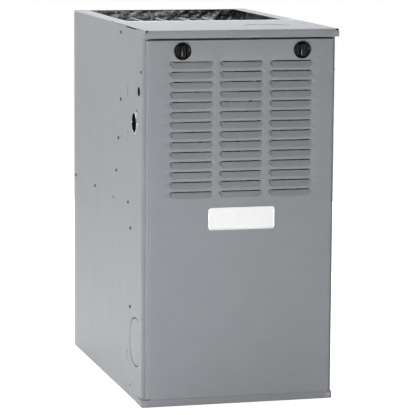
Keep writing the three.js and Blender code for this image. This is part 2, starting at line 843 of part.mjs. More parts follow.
/** The y of the manifold, which the valve's outlet stands over. */
function manifoldY() {
  return vector(0, -manifoldPipe.at, 0).applyMatrix4(rackFrame).y;
}

/** The valve's on-off knob: a short stem and a disc with a bar grip, turning about y. */
function valveKnob() {
  return joined(
    bar("y", [0, 0], valveKnobStem, -1, 9, 12),
    bar("y", [0, 0], 10, -5, -fit, 16),
    block([-2, 2], [-10, -4], [-9, 9]),
  );
}

// ---- Flue gas collector and inducer ----

const inducerX = ventX - (inducer.r1 + inducer.r0 * Math.cos(THREE.MathUtils.degToRad(inducer.startDeg))) / 2;
const collectorFrontY = cellPanel.topY - fit - collector.depth;
const inducerBackY = collectorFrontY - fit;
const inducerFrontY = inducerBackY - inducer.depth;
const coolingFanY = inducerFrontY - inducerMotor.gap - inducerMotor.length - coolingFan.gap;

/** Shallow box over the cells' flue ports, with a hole for the inducer's inlet. */
function collectorBox() {
  const { half, bottom, top } = collector;
  const rear = cellPanel.topY - fit;
  return cut(
    block([-half, half], [collectorFrontY, rear], [bottom, top]),
    block([sheet - half, half - sheet], [collectorFrontY + sheet, rear + 1], [bottom + sheet, top - sheet]),
    bar("y", [inducerX, inducer.z], 30, collectorFrontY - 1, collectorFrontY + 2 * sheet),
  );
}

/** The inducer's volute: inlet in the back, outlet at the top, shaft hole in front. */
function inducerHousing() {
  const { wall } = inducer;
  const outline = (inset, top) => scrollOutline(inducerX, inducer.z, inducer, top, inset);
  const body = prism("y", outline(0, inducer.top), inducerFrontY, inducerBackY);
  const hollow = prism("y", outline(wall, inducer.top + 1), inducerFrontY + wall, inducerBackY - wall);
  const centre = [inducerX, inducer.z];
  return cut(
    body,
    hollow,
    bar("y", centre, 26, inducerBackY - 2 * wall, inducerBackY + 1),
    bar("y", centre, inducer.shaft + 1, inducerFrontY - 1, inducerFrontY + 2 * wall, 12),
  );
}

/** The inducer's rotor about x = z = 0: wheel with blades on a long shaft. */
function inducerWheel() {
  const disc = inducerFrontY + 8;
  const bladeEnd = inducerBackY - 14;
  const shaftFront = coolingFanY - coolingFan.length;
  const blades = Array.from({ length: 12 }, (_, i) => {
    const blade = block([26, inducer.wheel - 1], [disc, bladeEnd], [-0.8, 0.8]);
    return moved(blade, new THREE.Matrix4().makeRotationY((i * 2 * Math.PI) / 12));
  });
  return joined(
    bar("y", [0, 0], inducer.wheel, disc, disc + 2, 28),
    bar("y", [0, 0], 9, disc, disc + 16, 12),
    bar("y", [0, 0], inducer.shaft, shaftFront, disc + 1, 12),
    ...blades,
  );
}

/** The inducer's motor: a finned can on three feet, with a hole for the shaft. */
function inducerMotorBody() {
  const rear = inducerFrontY - inducerMotor.gap;
  const front = rear - inducerMotor.length;
  const feet = [90, 210, 330].map((degrees) => {
    const [[x, z]] = arc(0, 0, inducerMotor.radius - 6, degrees, degrees, 1);
    return bar("y", [x, z], 4, rear - 4, inducerFrontY - fit, 8);
  });
  const rings = [8, 26].map((step) =>
    bar("y", [0, 0], inducerMotor.radius, front + step, front + step + 12, 20),
  );
  return cut(
    joined(bar("y", [0, 0], inducerMotor.radius - 4, front, rear), ...rings, ...feet),
    bar("y", [0, 0], inducer.shaft + fit, front - 1, rear + 1, 12),
  );
}

/** Small fan on the front of the inducer's shaft that cools the motor. */
function inducerCoolingFan() {
  const rear = coolingFanY;
  const front = rear - coolingFan.length;
  const blades = Array.from({ length: 7 }, (_, i) => {
    const blade = block([10, coolingFan.radius], [front, rear], [-0.7, 0.7]);
    return moved(blade, new THREE.Matrix4().makeRotationY((i * 2 * Math.PI) / 7));
  });
  return cut(
    joined(
      bar("y", [0, 0], 11, front, rear, 14),
      bar("y", [0, 0], coolingFan.radius, rear - 1.2, rear, 24),
      ...blades,
    ),
    bar("y", [0, 0], inducer.shaft + fit, front - 1, rear + 1, 12),
  );
}

/** Round collar for the vent pipe on a plate over the volute's outlet. */
function ventCollarBody() {
  const z0 = inducer.top + fit;
  const z1 = z0 + 2;
  const outlet = scrollOutline(inducerX, inducer.z, inducer, inducer.top, inducer.wall);
  return cut(
    joined(
      bar("z", [ventX, ventY], ventCollar.plate / 2, z0, z1, 24),
      bar("z", [ventX, ventY], ventPipe / 2, z1 - 1, z0 + ventCollar.height, 24),
    ),
    bar("z", [ventX, ventY], ventPipe / 2 - sheet, z1, z0 + ventCollar.height + 1, 24),
    block(
      [outlet.at(-1)[0], outlet.at(-2)[0]],
      [Math.max(inducerFrontY, ventY - 45) + 2, inducerBackY - 20],
      [z0 - 1, z1 + 1],
    ),
  );
}

// ---- Safety switches ----

/** Pressure switch: a round two-part diaphragm case on a foot, with a hose nipple. */
function pressureSwitch() {
  const { x, z, radius, depth, standoff, nipple } = pressureSwitchAt;
  const rear = cellPanel.topY - fit - standoff;
  return joined(
    bar("y", [x, z], radius - 4, rear - depth, rear, 20),
    bar("y", [x, z], radius, rear - depth / 2 - 3, rear - depth / 2 + 3, 20),
    bar("y", [x, z], 8, rear, cellPanel.topY - fit, 12),
    bar("y", [x, z], 3, rear - depth - nipple, rear, 10),
  );
}

/** Rubber hose from the volute's tap to the pressure switch. */
function pressureTube() {
  const { x, z, depth, standoff, nipple } = pressureSwitchAt;
  const nippleY = cellPanel.topY - fit - standoff - depth - nipple - fit;
  const tapX = inducerX - inducer.r0 - 8;
  return hose(
    [
      [x, nippleY, z],
      [x, nippleY - 12, z],
      [x + 20, nippleY - 26, z - 30],
      [x + 70, nippleY - 26, z - 66],
      [tapX - 34, inducerBackY - 30, inducer.z - 30],
      [tapX - 12, inducerBackY - 30, inducer.z - 18],
      [tapX - 3, inducerBackY - 30, inducer.z - 14],
    ],
    3,
    20,
  );
}

/** Main limit switch: a flanged disc in front of the panel and a probe into the warm air. */
function limitSwitch() {
  const near = -fit;
  return joined(
    block([-16, 16], [near - 2, near], [-10, 10]),
    bar("y", [0, 0], 9, near - 14, near, 14),
    bar("y", [0, 0], limitPlace.probe, near - 1, 40, 12),
  );
}

// ---- Controls ----

/** Bracket box on the blower compartment's front wall that holds the control board. */
function controlBoxBody() {
  const { x0, x1, z0, z1, depth } = controlBox;
  const rear = deckFrontY - 2 * fit - sheet;
  return cut(
    block([x0, x1], [rear - depth, rear], [z0, z1]),
    block([x0 + sheet, x1 - sheet], [rear - depth - 1, rear - sheet], [z0 + sheet, z1 + 1]),
  );
}

const boardBackY = deckFrontY - 2 * fit - 2 * sheet - 8;

/** Control board on four stand-offs, with its relays, plugs and fuse. */
function controlBoard() {
  const x = [controlBox.x0 + 15, controlBox.x1 - 15];
  const z = [controlBox.z0 + 15, controlBox.z1 - 20];
  const thick = 1.6;
  const face = boardBackY - thick;
  const posts = [x[0] + 8, x[1] - 8].flatMap((px) =>
    [z[0] + 8, z[1] - 8].map((pz) => bar("y", [px, pz], 3, boardBackY - 1, boardBackY + 8 - fit, 8)),
  );
  const parts = [
    [40, 20, 28, 22, 18],
    [80, 20, 28, 22, 18],
    [20, 60, 16, 40, 10],
    [120, 60, 14, 44, 12],
    [60, 90, 40, 12, 10],
    [70, 58, 22, 22, 4],
  ].map(([px, pz, width, height, deep]) =>
    block([x[0] + px, x[0] + px + width], [face - deep, face + 0.5], [z[0] + pz, z[0] + pz + height]),
  );
  return joined(block(x, [face, boardBackY], z), ...posts, ...parts);
}

/** Low-voltage transformer: a laminated core with a coil through it, on two feet. */
function transformer() {
  const rear = deckFrontY - 2 * fit - sheet;
  const [x, z] = [-60, deckZ - 88];
  return joined(
    block([x - 28, x + 28], [rear - 36, rear - 8], [z - 24, z + 24]),
    block([x - 16, x + 16], [rear - 50, rear - 2], [z - 30, z + 30]),
    ...[x - 34, x + 22].map((foot) => block([foot, foot + 12], [rear - 9, rear], [z - 8, z + 8])),
  );
}

/** Junction box inside the left wall, open towards the conduit hole. */
function junctionBoxBody() {
  const [y, z] = wireHole.at;
  const x0 = -innerX;
  const x1 = x0 + junctionBox.depth;
  const { halfY, halfZ } = junctionBox;
  return cut(
    block([x0, x1], [y - halfY, y + halfY], [z - halfZ, z + halfZ]),
    block(
      [x0 - 1, x1 - sheet],
      [y + sheet - halfY, y + halfY - sheet],
      [z + sheet - halfZ, z + halfZ - sheet],
    ),
    bar("z", [x0 + 30, y + 10], 7, z - halfZ - 1, z - halfZ + 2, 12),
  );
}

/** Door interlock switch on a bracket from the right wall, with a guide hole for its plunger. */
function interlockSwitch() {
  const { x, z, frontY: front, bodyDepth, radius } = interlock;
  const rear = front + bodyDepth;
  return cut(
    joined(
      block([x - 12, x + 12], [front, rear], [z - 9, z + 9]),
      block([x - 14, innerX], [front + 2, rear], [z - 10, z - 8]),
      block([innerX - sheet, innerX], [front + 2, rear], [z - 10, z + 20]),
    ),
    bar("y", [x, z], radius + fit, front - 1, front + 12, 12),
  );
}

const strikerRearY = beforeFlangeY - 1.2;

/** The interlock's plunger, pressed in by the door. */
function interlockPlunger() {
  const { x, z, frontY: front, radius } = interlock;
  return bar("y", [x, z], radius, strikerRearY + fit, front + 11, 12);
}

/** Hat-shaped striker inside the door that presses the plunger. */
function interlockStriker() {
  const { x, z } = interlock;
  const foot = doorInnerY + fit;
  const line = [
    [foot, z - 24],
    [foot, z - 10],
    [strikerRearY - sheet, z - 10],
    [strikerRearY - sheet, z + 10],
    [foot, z + 10],
    [foot, z + 24],
  ];
  return prism("x", bent(line, -sheet), x - 10, x + 10);
}

/** Low and line-voltage wires in one bundle, from the board to the inducer and the gas valve. */
function wiringHarness() {
  const top = controlBox.z1 - 20;
  const front = boardBackY - 20;
  const looseY = frontY + 38.5;
  const fork = [20, looseY, deckZ + 82];
  const motorY = inducerFrontY - inducerMotor.gap - inducerMotor.length / 2;
  const trunk = hose(
    [
      [95, front, top + fit],
      [95, front - 4, top + 25],
      [70, looseY + 4, deckZ + 32],
      fork,
      [10, looseY, deckZ + 162],
      [28, looseY + 10, deckZ + 217],
      [inducerX, motorY, inducer.z - inducerMotor.radius - 14],
      [inducerX, motorY, inducer.z - inducerMotor.radius - 2 * fit],
    ],
    4.5,
    30,
  );
  const branch = hose(
    [
      fork,
      [-30, looseY, deckZ + 122],
      [-85, looseY + 10, deckZ + 158],
      [valve.x + valve.halfX + 12, looseY + 22, deckZ + 192],
      [valve.x + valve.halfX + 2 * fit, looseY + 22, deckZ + 192],
    ],
    3.5,
    12,
  );
  return trunk.add(branch);
}

// ---- Blower: these are about the wheel's axis, along x ----

/** Blower housing: a scroll between two side plates, with an inlet in each and hanging rails. */
function blowerHousing() {
  const { half, inlet } = blower;
  const outline = (inset, top) => scrollOutline(0, 0, blower, top - blower.z, inset);
  const [front, rear] = blowerOutlet(0).map((y) => y - blower.y);
  const railTop = blowerTop - blower.z;
  return cut(
    joined(
      prism("x", outline(0, blowerTop), -half, half),
      block([-half, half], [front - blower.rail, front + 1], [railTop - sheet, railTop]),
      block([-half, half], [rear - 1, rear + blower.rail], [railTop - sheet, railTop]),
    ),
    prism("x", outline(sheet, blowerTop + 1), sheet - half, half - sheet),
    bar("x", [0, 0], inlet, -2 * half, 2 * half, 24),
  );
}

/** Blower wheel: curved-blade cage on a centre disc, with its hub and the motor's shaft. */
function blowerWheel() {
  const { radius, blade, half, blades, rim, discX, hub, shaft } = wheel;
  const ring = (x) =>
    bar("x", [0, 0], radius, x, x + rim, 24).subtract(
      bar("x", [0, 0], radius - blade, x - 1, x + rim + 1, 24),
    );
  const vanes = Array.from({ length: blades }, (_, i) => {
    const vane = block([-half, half], [radius - blade - 1, radius - 1], [-0.6, 0.6]);
    return moved(vane, new THREE.Matrix4().makeRotationX((i * 2 * Math.PI) / blades));
  });
  return joined(
    ring(-half),
    ring(half - rim),
    bar("x", [0, 0], radius - 2, discX, discX + 2, 24),
    bar("x", [0, 0], hub, discX - 20, discX + 16, 16),
    bar("x", [0, 0], shaft, blowerMotor.from - 4, discX + 1, 12),
    ...vanes,
  );
}

/** Blower motor: a can with stepped end bells, in the left inlet. */
function blowerMotorBody() {
  const { radius, from, to } = blowerMotor;
  const profile = [
    [wheel.shaft + fit, from],
    [radius * 0.45, from],
    [radius * 0.55, from + 8],
    [radius - 6, from + 12],
    [radius, from + 18],
    [radius, to - 18],
    [radius - 6, to - 12],
    [radius * 0.55, to - 8],
    [radius * 0.45, to],
    [wheel.shaft + fit, to],
  ];
  return turned("x", profile, 24);
}

/** Belly band round the motor, and three arms to the blower's left side plate. */
function blowerMotorMount() {
  const inner = blowerMotor.radius + fit;
  const x = [-blower.half - 14, -blower.half - fit];
  const band = bar("x", [0, 0], inner + 2.5, x[0] - 6, x[1], 32);
  const arms = [90, 210, 330].map((degrees) => {
    const arm = joined(
      block([x[0], x[0] + 3], [inner, blower.inlet + 12], [-7, 7]),
      block([x[0], x[1]], [blower.inlet + 4, blower.inlet + 12], [-7, 7]),
    );
    return moved(arm, new THREE.Matrix4().makeRotationX(THREE.MathUtils.degToRad(degrees)));
  });
  return joined(band, ...arms).subtract(bar("x", [0, 0], inner, -beyond, 0, 32));
}

/** Run capacitor: a can with two terminals, standing out of the right side plate. */
function capacitor() {
  const [y, z] = [-40, blower.inlet + 22];
  const from = blower.half + fit;
  const tabs = [y - 6, y + 6].map((tab) =>
    block([from + 59, from + 68], [tab - 3, tab + 3], [z - 1, z + 1]),
  );
  return joined(bar("x", [y, z], 20, from, from + 60, 20), ...tabs);
}

// ---- Door ----

/** The door's outline in (x, y): the face, a stepped shoulder on each side, and the rear edge. */
function doorOutline() {
  const ledgeY = frontY - doorLedgeOut;
  const outerX = doorHalf + doorLedge;
  return [
    [-outerX, beforeFlangeY],
    [-outerX, ledgeY],
    [-doorHalf, ledgeY],
    [-doorHalf, doorFaceY],
    [doorHalf, doorFaceY],
    [doorHalf, ledgeY],
    [outerX, ledgeY],
    [outerX, beforeFlangeY],
  ];
}

/** One louvre's opening and its vane, which leans into the furnace from its lower edge. */
function louvreAt(x, slitZ) {
  const { width, slit, drop, depth } = louvre;
  const half = width / 2;
  const top = slitZ + slit / 2;
  const bottom = slitZ - drop;
  const window = block([x - half, x + half], [doorFaceY - 1, doorInnerY + 1], [bottom, top]);
  const vaneTop = top - slit;
  const vane = prism(
    "x",
    [
      [doorFaceY, bottom],
      [doorFaceY + sheet, bottom - 0.5],
      [doorFaceY + depth + sheet, vaneTop],
      [doorFaceY + depth, vaneTop],
    ],
    x - half,
    x + half,
  );
  const cheekOutline = [
    [doorFaceY, bottom],
    [doorFaceY + sheet, bottom - 0.5],
    [doorFaceY + depth + sheet, vaneTop],
    [doorInnerY, top],
    [doorFaceY, top],
  ];
  const cheeks = [
    prism("x", cheekOutline, x - half - sheet / 2, x - half + sheet),
    prism("x", cheekOutline, x + half - sheet, x + half + sheet / 2),
  ];
  return { window, vane: joined(vane, ...cheeks) };
}

/** The centres of the louvres' slits. */
function louvrePlaces() {
  const { columns, rows, columnPitch, rowPitch, firstSlit } = louvre;
  return Array.from({ length: columns * rows }, (_, i) => [
    ((i % columns) - (columns - 1) / 2) * columnPitch,
    firstSlit - Math.floor(i / columns) * rowPitch,
  ]);
}

/** The door pan with its louvres, knob holes, rear returns and the tongue at its foot. */
function frontDoor() {
  const outline = doorOutline();
  const outerX = doorHalf + doorLedge;
  const rearLine = [
    [doorReturn - outerX, beforeFlangeY],
    ...outline,
    [outerX - doorReturn, beforeFlangeY],
  ];
  const tongueY = beforeFlangeY - tongue.gap;
  const louvres = louvrePlaces().map(([x, z]) => louvreAt(x, z));
  const pan = joined(
    prism("z", bent(rearLine, sheet), doorBottom, doorTop),
    prism("z", outline, doorBottom, doorBottom + sheet),
    prism("z", outline, doorTop - sheet, doorTop),
    block(
      [-tongue.half, tongue.half],
      [tongueY - sheet, tongueY],
      [doorBottom - tongue.drop, doorBottom + sheet],
    ),
  );
  const holes = [-knob.x, knob.x].map((x) =>
    bar("y", [x, knob.z], latch.shaft + 1, doorFaceY - 1, doorInnerY + 1, 12),
  );
  const opened = cut(pan, ...holes, ...louvres.map(({ window }) => window));
  return joined(opened, ...louvres.map(({ vane }) => vane));
}

/** Bare badge plate with rounded corners. */
function badgePlate() {
  const outline = roundedRectangle(badge.x, badge.z, badge.width, badge.height, badge.corner);
  return prism("y", outline, doorFaceY - fit - badge.thick, doorFaceY - fit);
}

/** Quarter-turn knob about the origin: a round disc with an upright grip, and a blind bore. */
function doorKnob() {
  const radius = knob.diameter / 2;
  const dish = turned("y", [
    [0, -fit],
    [radius, -fit],
    [radius, -knob.disc + 1.5],
    [radius - 2, -knob.disc],
    [0, -knob.disc],
  ], 24);
  const grip = prism(
    "y",
    roundedRectangle(0, 0, knob.wingWidth, knob.wingHeight, 3.5),
    -knob.disc - knob.wing,
    1 - knob.disc,
  );
  return cut(dish.add(grip), bar("y", [0, 0], latch.shaft + fit, -knob.disc, 0, 12));
}

/** Latch: a shaft through the door and a tongue that is upright when the door is free. */
function doorLatch() {
  const webRear = doorOut + 2 * sheet + fit;
  const from = webRear + 2 * fit;
  return joined(
    bar("y", [0, 0], latch.shaft, fit - knob.disc, from + 1, 12),
    prism("y", roundedRectangle(0, 0, latch.width, latch.length, 3), from, from + latch.thick),
  );
}

// ---- Assembly ----

const furnace = new THREE.Group();

add(furnace, "casing_wrapper", casingWrapper(), paint);
add(furnace, "top_front_plate", topFrontPlate(), paint);
add(furnace, "header_rail", headerRail(), paint);
add(furnace, "base_rail", baseRail(), paint);
add(furnace, "bottom_closure_panel", bottomClosurePanel(), galvanised);
add(furnace, "cell_panel", cellPanelSheet(), galvanised);
add(furnace, "blower_deck", blowerDeck(), galvanised);
add(furnace, "blower_access_panel", blowerAccessPanel(), galvanised);
add(furnace, "foil_liner", linerBlanket(), foil);
for (const { name, at, along, inward } of screws) {
  add(furnace, name, screwAlong(along, inward), screwZinc).position.set(...at);
}

const cellBody = heatExchangerCell();
cellXs.forEach((x, i) => {
  add(furnace, `heat_exchanger_cell_${i + 1}`, cellBody, aluminised).position.x = x;
});

const burnerGroup = new THREE.Group();
burnerGroup.applyMatrix4(rackFrame);
furnace.add(burnerGroup);
add(burnerGroup, "burner_rack", burnerRack().subtract(rackCutouts()), galvanised);
const burnerBody = burnerTube();
cellXs.forEach((x, i) => {
  add(burnerGroup, `burner_${i + 1}`, burnerBody, aluminised).position.x = x;
});
const igniterMesh = add(burnerGroup, "igniter", igniter(), ceramic);
igniterMesh.position.set(igniterBlade.x, 0, igniterBlade.z);
const sensorMesh = add(burnerGroup, "flame_sensor", flameSensor(), ceramic);
sensorMesh.position.set(sensorRod.x, 0, sensorRod.z);
const rolloutPlace = { x: cellsHalf + 22, z: 50 };
for (const [side, x] of [["left", -rolloutPlace.x], ["right", rolloutPlace.x]]) {
  const place = [x, -fit, rolloutPlace.z];
  add(burnerGroup, `rollout_switch_${side}`, discSwitch(), blackPlastic).position.set(...place);
  const button = bar("y", [0, 0], resetButton, -13, -7, 12);
  add(burnerGroup, `rollout_reset_${side}`, button, redPlastic).position.set(...place);
}
const limit = add(burnerGroup, "limit_switch", limitSwitch(), blackPlastic);
limit.position.set(limitPlace.x, 0, limitPlace.z);

add(furnace, "gas_manifold", gasManifold(), aluminised);
add(furnace, "gas_valve", gasValve(), castAluminium);
const valveKnobMesh = add(furnace, "gas_valve_knob", valveKnob(), redPlastic);
valveKnobMesh.position.set(valve.x + valveKnobAt[0], valve.frontY, valve.bottom + valveKnobAt[1]);

add(furnace, "collector_box", collectorBox(), aluminised);
add(furnace, "inducer_housing", inducerHousing(), galvanised);
add(furnace, "vent_collar", ventCollarBody(), galvanised);
const inducerAxis = new THREE.Group();
inducerAxis.position.set(inducerX, 0, inducer.z);
furnace.add(inducerAxis);
add(inducerAxis, "inducer_wheel", inducerWheel(), aluminised);
add(inducerAxis, "inducer_motor", inducerMotorBody(), motorBlack);
add(inducerAxis, "inducer_cooling_fan", inducerCoolingFan(), blackPlastic);

add(furnace, "pressure_switch", pressureSwitch(), blackPlastic);
add(furnace, "pressure_tube", pressureTube(), cableGrey);
add(furnace, "control_box", controlBoxBody(), galvanised);
add(furnace, "control_board", controlBoard(), boardGreen);
add(furnace, "transformer", transformer(), motorBlack);
add(furnace, "junction_box", junctionBoxBody(), galvanised);
add(furnace, "wiring_harness", wiringHarness(), cableGrey);
add(furnace, "interlock_switch", interlockSwitch(), blackPlastic);
add(furnace, "interlock_plunger", interlockPlunger(), redPlastic);

const blowerAxis = new THREE.Group();
blowerAxis.position.set(0, blower.y, blower.z);
furnace.add(blowerAxis);
add(blowerAxis, "blower_housing", blowerHousing(), galvanised);
add(blowerAxis, "blower_wheel", blowerWheel(), galvanised);
add(blowerAxis, "blower_motor", blowerMotorBody(), motorBlack);
add(blowerAxis, "blower_motor_mount", blowerMotorMount(), galvanised);
add(blowerAxis, "capacitor", capacitor(), castAluminium);

const door = new THREE.Group();
furnace.add(door);
add(door, "front_door", frontDoor(), paint);
add(door, "badge_plate", badgePlate(), badgeWhite);
add(door, "interlock_striker", interlockStriker(), galvanised);
for (const [side, x] of [["left", -knob.x], ["right", knob.x]]) {
  const turn = new THREE.Group();
  turn.position.set(x, doorFaceY, knob.z);
  door.add(turn);
  add(turn, `door_knob_${side}`, doorKnob(), blackPlastic);
  add(turn, `door_latch_${side}`, doorLatch(), screwZinc);
}

export default furnace;
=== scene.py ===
import json
import bmesh
import bpy
import numpy as np
from mathutils import Matrix, Vector

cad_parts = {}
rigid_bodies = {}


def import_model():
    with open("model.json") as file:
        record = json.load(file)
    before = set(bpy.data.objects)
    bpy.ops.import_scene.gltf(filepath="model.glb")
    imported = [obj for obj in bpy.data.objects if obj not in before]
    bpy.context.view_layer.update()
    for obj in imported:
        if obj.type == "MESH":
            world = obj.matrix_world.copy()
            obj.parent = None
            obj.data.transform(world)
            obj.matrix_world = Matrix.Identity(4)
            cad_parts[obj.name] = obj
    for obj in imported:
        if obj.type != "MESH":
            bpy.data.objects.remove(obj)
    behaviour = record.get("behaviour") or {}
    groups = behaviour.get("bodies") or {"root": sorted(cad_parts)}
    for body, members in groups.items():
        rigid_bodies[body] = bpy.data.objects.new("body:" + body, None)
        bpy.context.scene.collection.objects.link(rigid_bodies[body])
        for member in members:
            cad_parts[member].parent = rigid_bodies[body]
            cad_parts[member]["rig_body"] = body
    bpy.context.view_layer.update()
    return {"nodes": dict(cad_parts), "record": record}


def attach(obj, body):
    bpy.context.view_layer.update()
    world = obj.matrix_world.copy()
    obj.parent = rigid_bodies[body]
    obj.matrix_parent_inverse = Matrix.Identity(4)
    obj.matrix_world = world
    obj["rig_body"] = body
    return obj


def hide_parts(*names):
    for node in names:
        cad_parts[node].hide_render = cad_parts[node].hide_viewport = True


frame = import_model()

# ---- Studio ----
# A long lens from the left of the door, a little above the middle of the furnace. The main softbox
# stands low in front on the left, one hangs over the cabinet, and weaker ones light the left side from
# behind, the right side and the back. Floor and background are white.
turn, rise, roll = np.radians([-15.243, 8.230, 0.398])
back = np.array([np.sin(turn) * np.cos(rise), -np.cos(turn) * np.cos(rise), np.sin(rise)])
level = np.array([np.cos(turn), np.sin(turn), 0.0])
above = np.cross(back, level)
right = np.cos(roll) * level + np.sin(roll) * above
above = np.cos(roll) * above - np.sin(roll) * level
camera_at = (-1.43175, -5.35165, 1.19655)
lens = bpy.data.cameras.new("camera")
lens.lens, lens.sensor_width, lens.clip_end = 203.25, 36.0, 60.0
camera = bpy.data.objects.new("camera", lens)
camera.matrix_world = Matrix([(*row, at) for row, at in zip(np.array([right, above, back]).T, camera_at)]
                             + [(0, 0, 0, 1)])
bpy.context.scene.collection.objects.link(camera)
bpy.context.scene.camera = camera
bpy.context.scene.view_settings.view_transform = "Standard"


def softbox(name, at, aim, size, watts):
    """A square lamp at a point, turned so that its light goes towards the point it is aimed at."""
    lamp = bpy.data.lights.new(name, "AREA")
    lamp.size, lamp.energy = size, watts
    holder = bpy.data.objects.new(name, lamp)
    holder.location = at
    holder.rotation_euler = (Vector(aim) - Vector(at)).to_track_quat("-Z", "Y").to_euler()
    bpy.context.scene.collection.objects.link(holder)


softbox("softbox_front", (-1.20, -2.50, 0.20), (0, -0.4, 0.2), 0.85, 56)
softbox("softbox_left", (-2.30, 0.80, 1.60), (-0.2, 0.0, 0.70), 1.0, 18)
softbox("softbox_top", (-0.2, 0.60, 2.75), (0, 0, 0.8), 1.6, 72)
softbox("softbox_right", (2.50, 0.50, 0.60), (0.2, 0, 0.45), 1.2, 32)
softbox("softbox_rear", (0.90, 2.80, 0.15), (0, 0.3, 0.40), 0.9, 36)


def seen_rays(tree):
    """1 for rays from the camera, a reflection or glass, and 0 for rays that only carry light."""
    path = tree.nodes.new("ShaderNodeLightPath")
    first, second = (tree.nodes.new("ShaderNodeMath") for _ in range(2))
    first.operation = second.operation = "MAXIMUM"
    tree.links.new(path.outputs["Is Camera Ray"], first.inputs[0])
    tree.links.new(path.outputs["Is Glossy Ray"], first.inputs[1])
    tree.links.new(first.outputs[0], second.inputs[0])
    tree.links.new(path.outputs["Is Transmission Ray"], second.inputs[1])
    return second.outputs[0]


room_light, room_shown = 0.10, 1.0
world = bpy.data.worlds.new("white_room")
bpy.context.scene.world = world
world.use_nodes = True
tree = world.node_tree
tree.nodes.clear()
lit, shown = (tree.nodes.new("ShaderNodeBackground") for _ in range(2))
lit.inputs["Strength"].default_value = room_light
shown.inputs["Strength"].default_value = room_shown
for ground in (lit, shown):
    ground.inputs["Color"].default_value = (1, 1, 1, 1)
either = tree.nodes.new("ShaderNodeMixShader")
tree.links.new(seen_rays(tree), either.inputs[0])
tree.links.new(lit.outputs[0], either.inputs[1])
tree.links.new(shown.outputs[0], either.inputs[2])
tree.links.new(either.outputs[0], tree.nodes.new("ShaderNodeOutputWorld").inputs["Surface"])

floor_reach, floor_z, paper_white, paper_glow = 14.0, -0.0006, 0.82, 0.91
floor_mesh = bpy.data.meshes.new("floor")
floor_mesh.from_pydata([(a * floor_reach, b * floor_reach, floor_z)
                        for a, b in ((-1, -1), (1, -1), (1, 1), (-1, 1))],
                       [], [(0, 1, 2, 3)])
floor = bpy.data.objects.new("floor", floor_mesh)
bpy.context.scene.collection.objects.link(floor)
paper = bpy.data.materials.new("white_paper")
paper.use_nodes = True
tree = paper.node_tree
tree.nodes.clear()
matt, glow = tree.nodes.new("ShaderNodeBsdfDiffuse"), tree.nodes.new("ShaderNodeEmission")
matt.inputs["Color"].default_value = (paper_white, paper_white, paper_white, 1)
glow.inputs["Strength"].default_value = paper_glow
both, either = tree.nodes.new("ShaderNodeAddShader"), tree.nodes.new("ShaderNodeMixShader")
tree.links.new(matt.outputs[0], both.inputs[0])
tree.links.new(glow.outputs[0], both.inputs[1])
tree.links.new(seen_rays(tree), either.inputs[0])
tree.links.new(matt.outputs[0], either.inputs[1])
tree.links.new(both.outputs[0], either.inputs[2])
tree.links.new(either.outputs[0], tree.nodes.new("ShaderNodeOutputMaterial").inputs["Surface"])
floor_mesh.materials.append(paper)

# ---- Casing ----
# One sheet of painted steel bent into left side, back and right side, with flanges along every edge.
# Both sides have sheared knock-outs, the left one also the gas and wire holes, drawn out into a lip, and
# the round marks of the back are clinched joints.
half_width, half_depth, height = 222.25, 360.5, 846.0
sheet_thickness, side_bend, top_bend = 0.95, 2.0, 2.5
front_flange, top_flange, rear_top_flange, bottom_flange = 26.0, 35.0, 12.0, 25.0
under_plate, plate_end, slit_front, slit_rear = 844.7, -66.7, -301.0, -204.0
gas_y, gas_z, gas_radius = -290.5, 634.0, 22.25
wire_y, wire_z, wire_radius = -333.0, 707.5, 11.0
small_y, small_zs, small_radius = -226.0, (698.0, 596.0, 94.0), 11.0
low_y, low_z, low_radius = -302.0, 138.0, 56.0


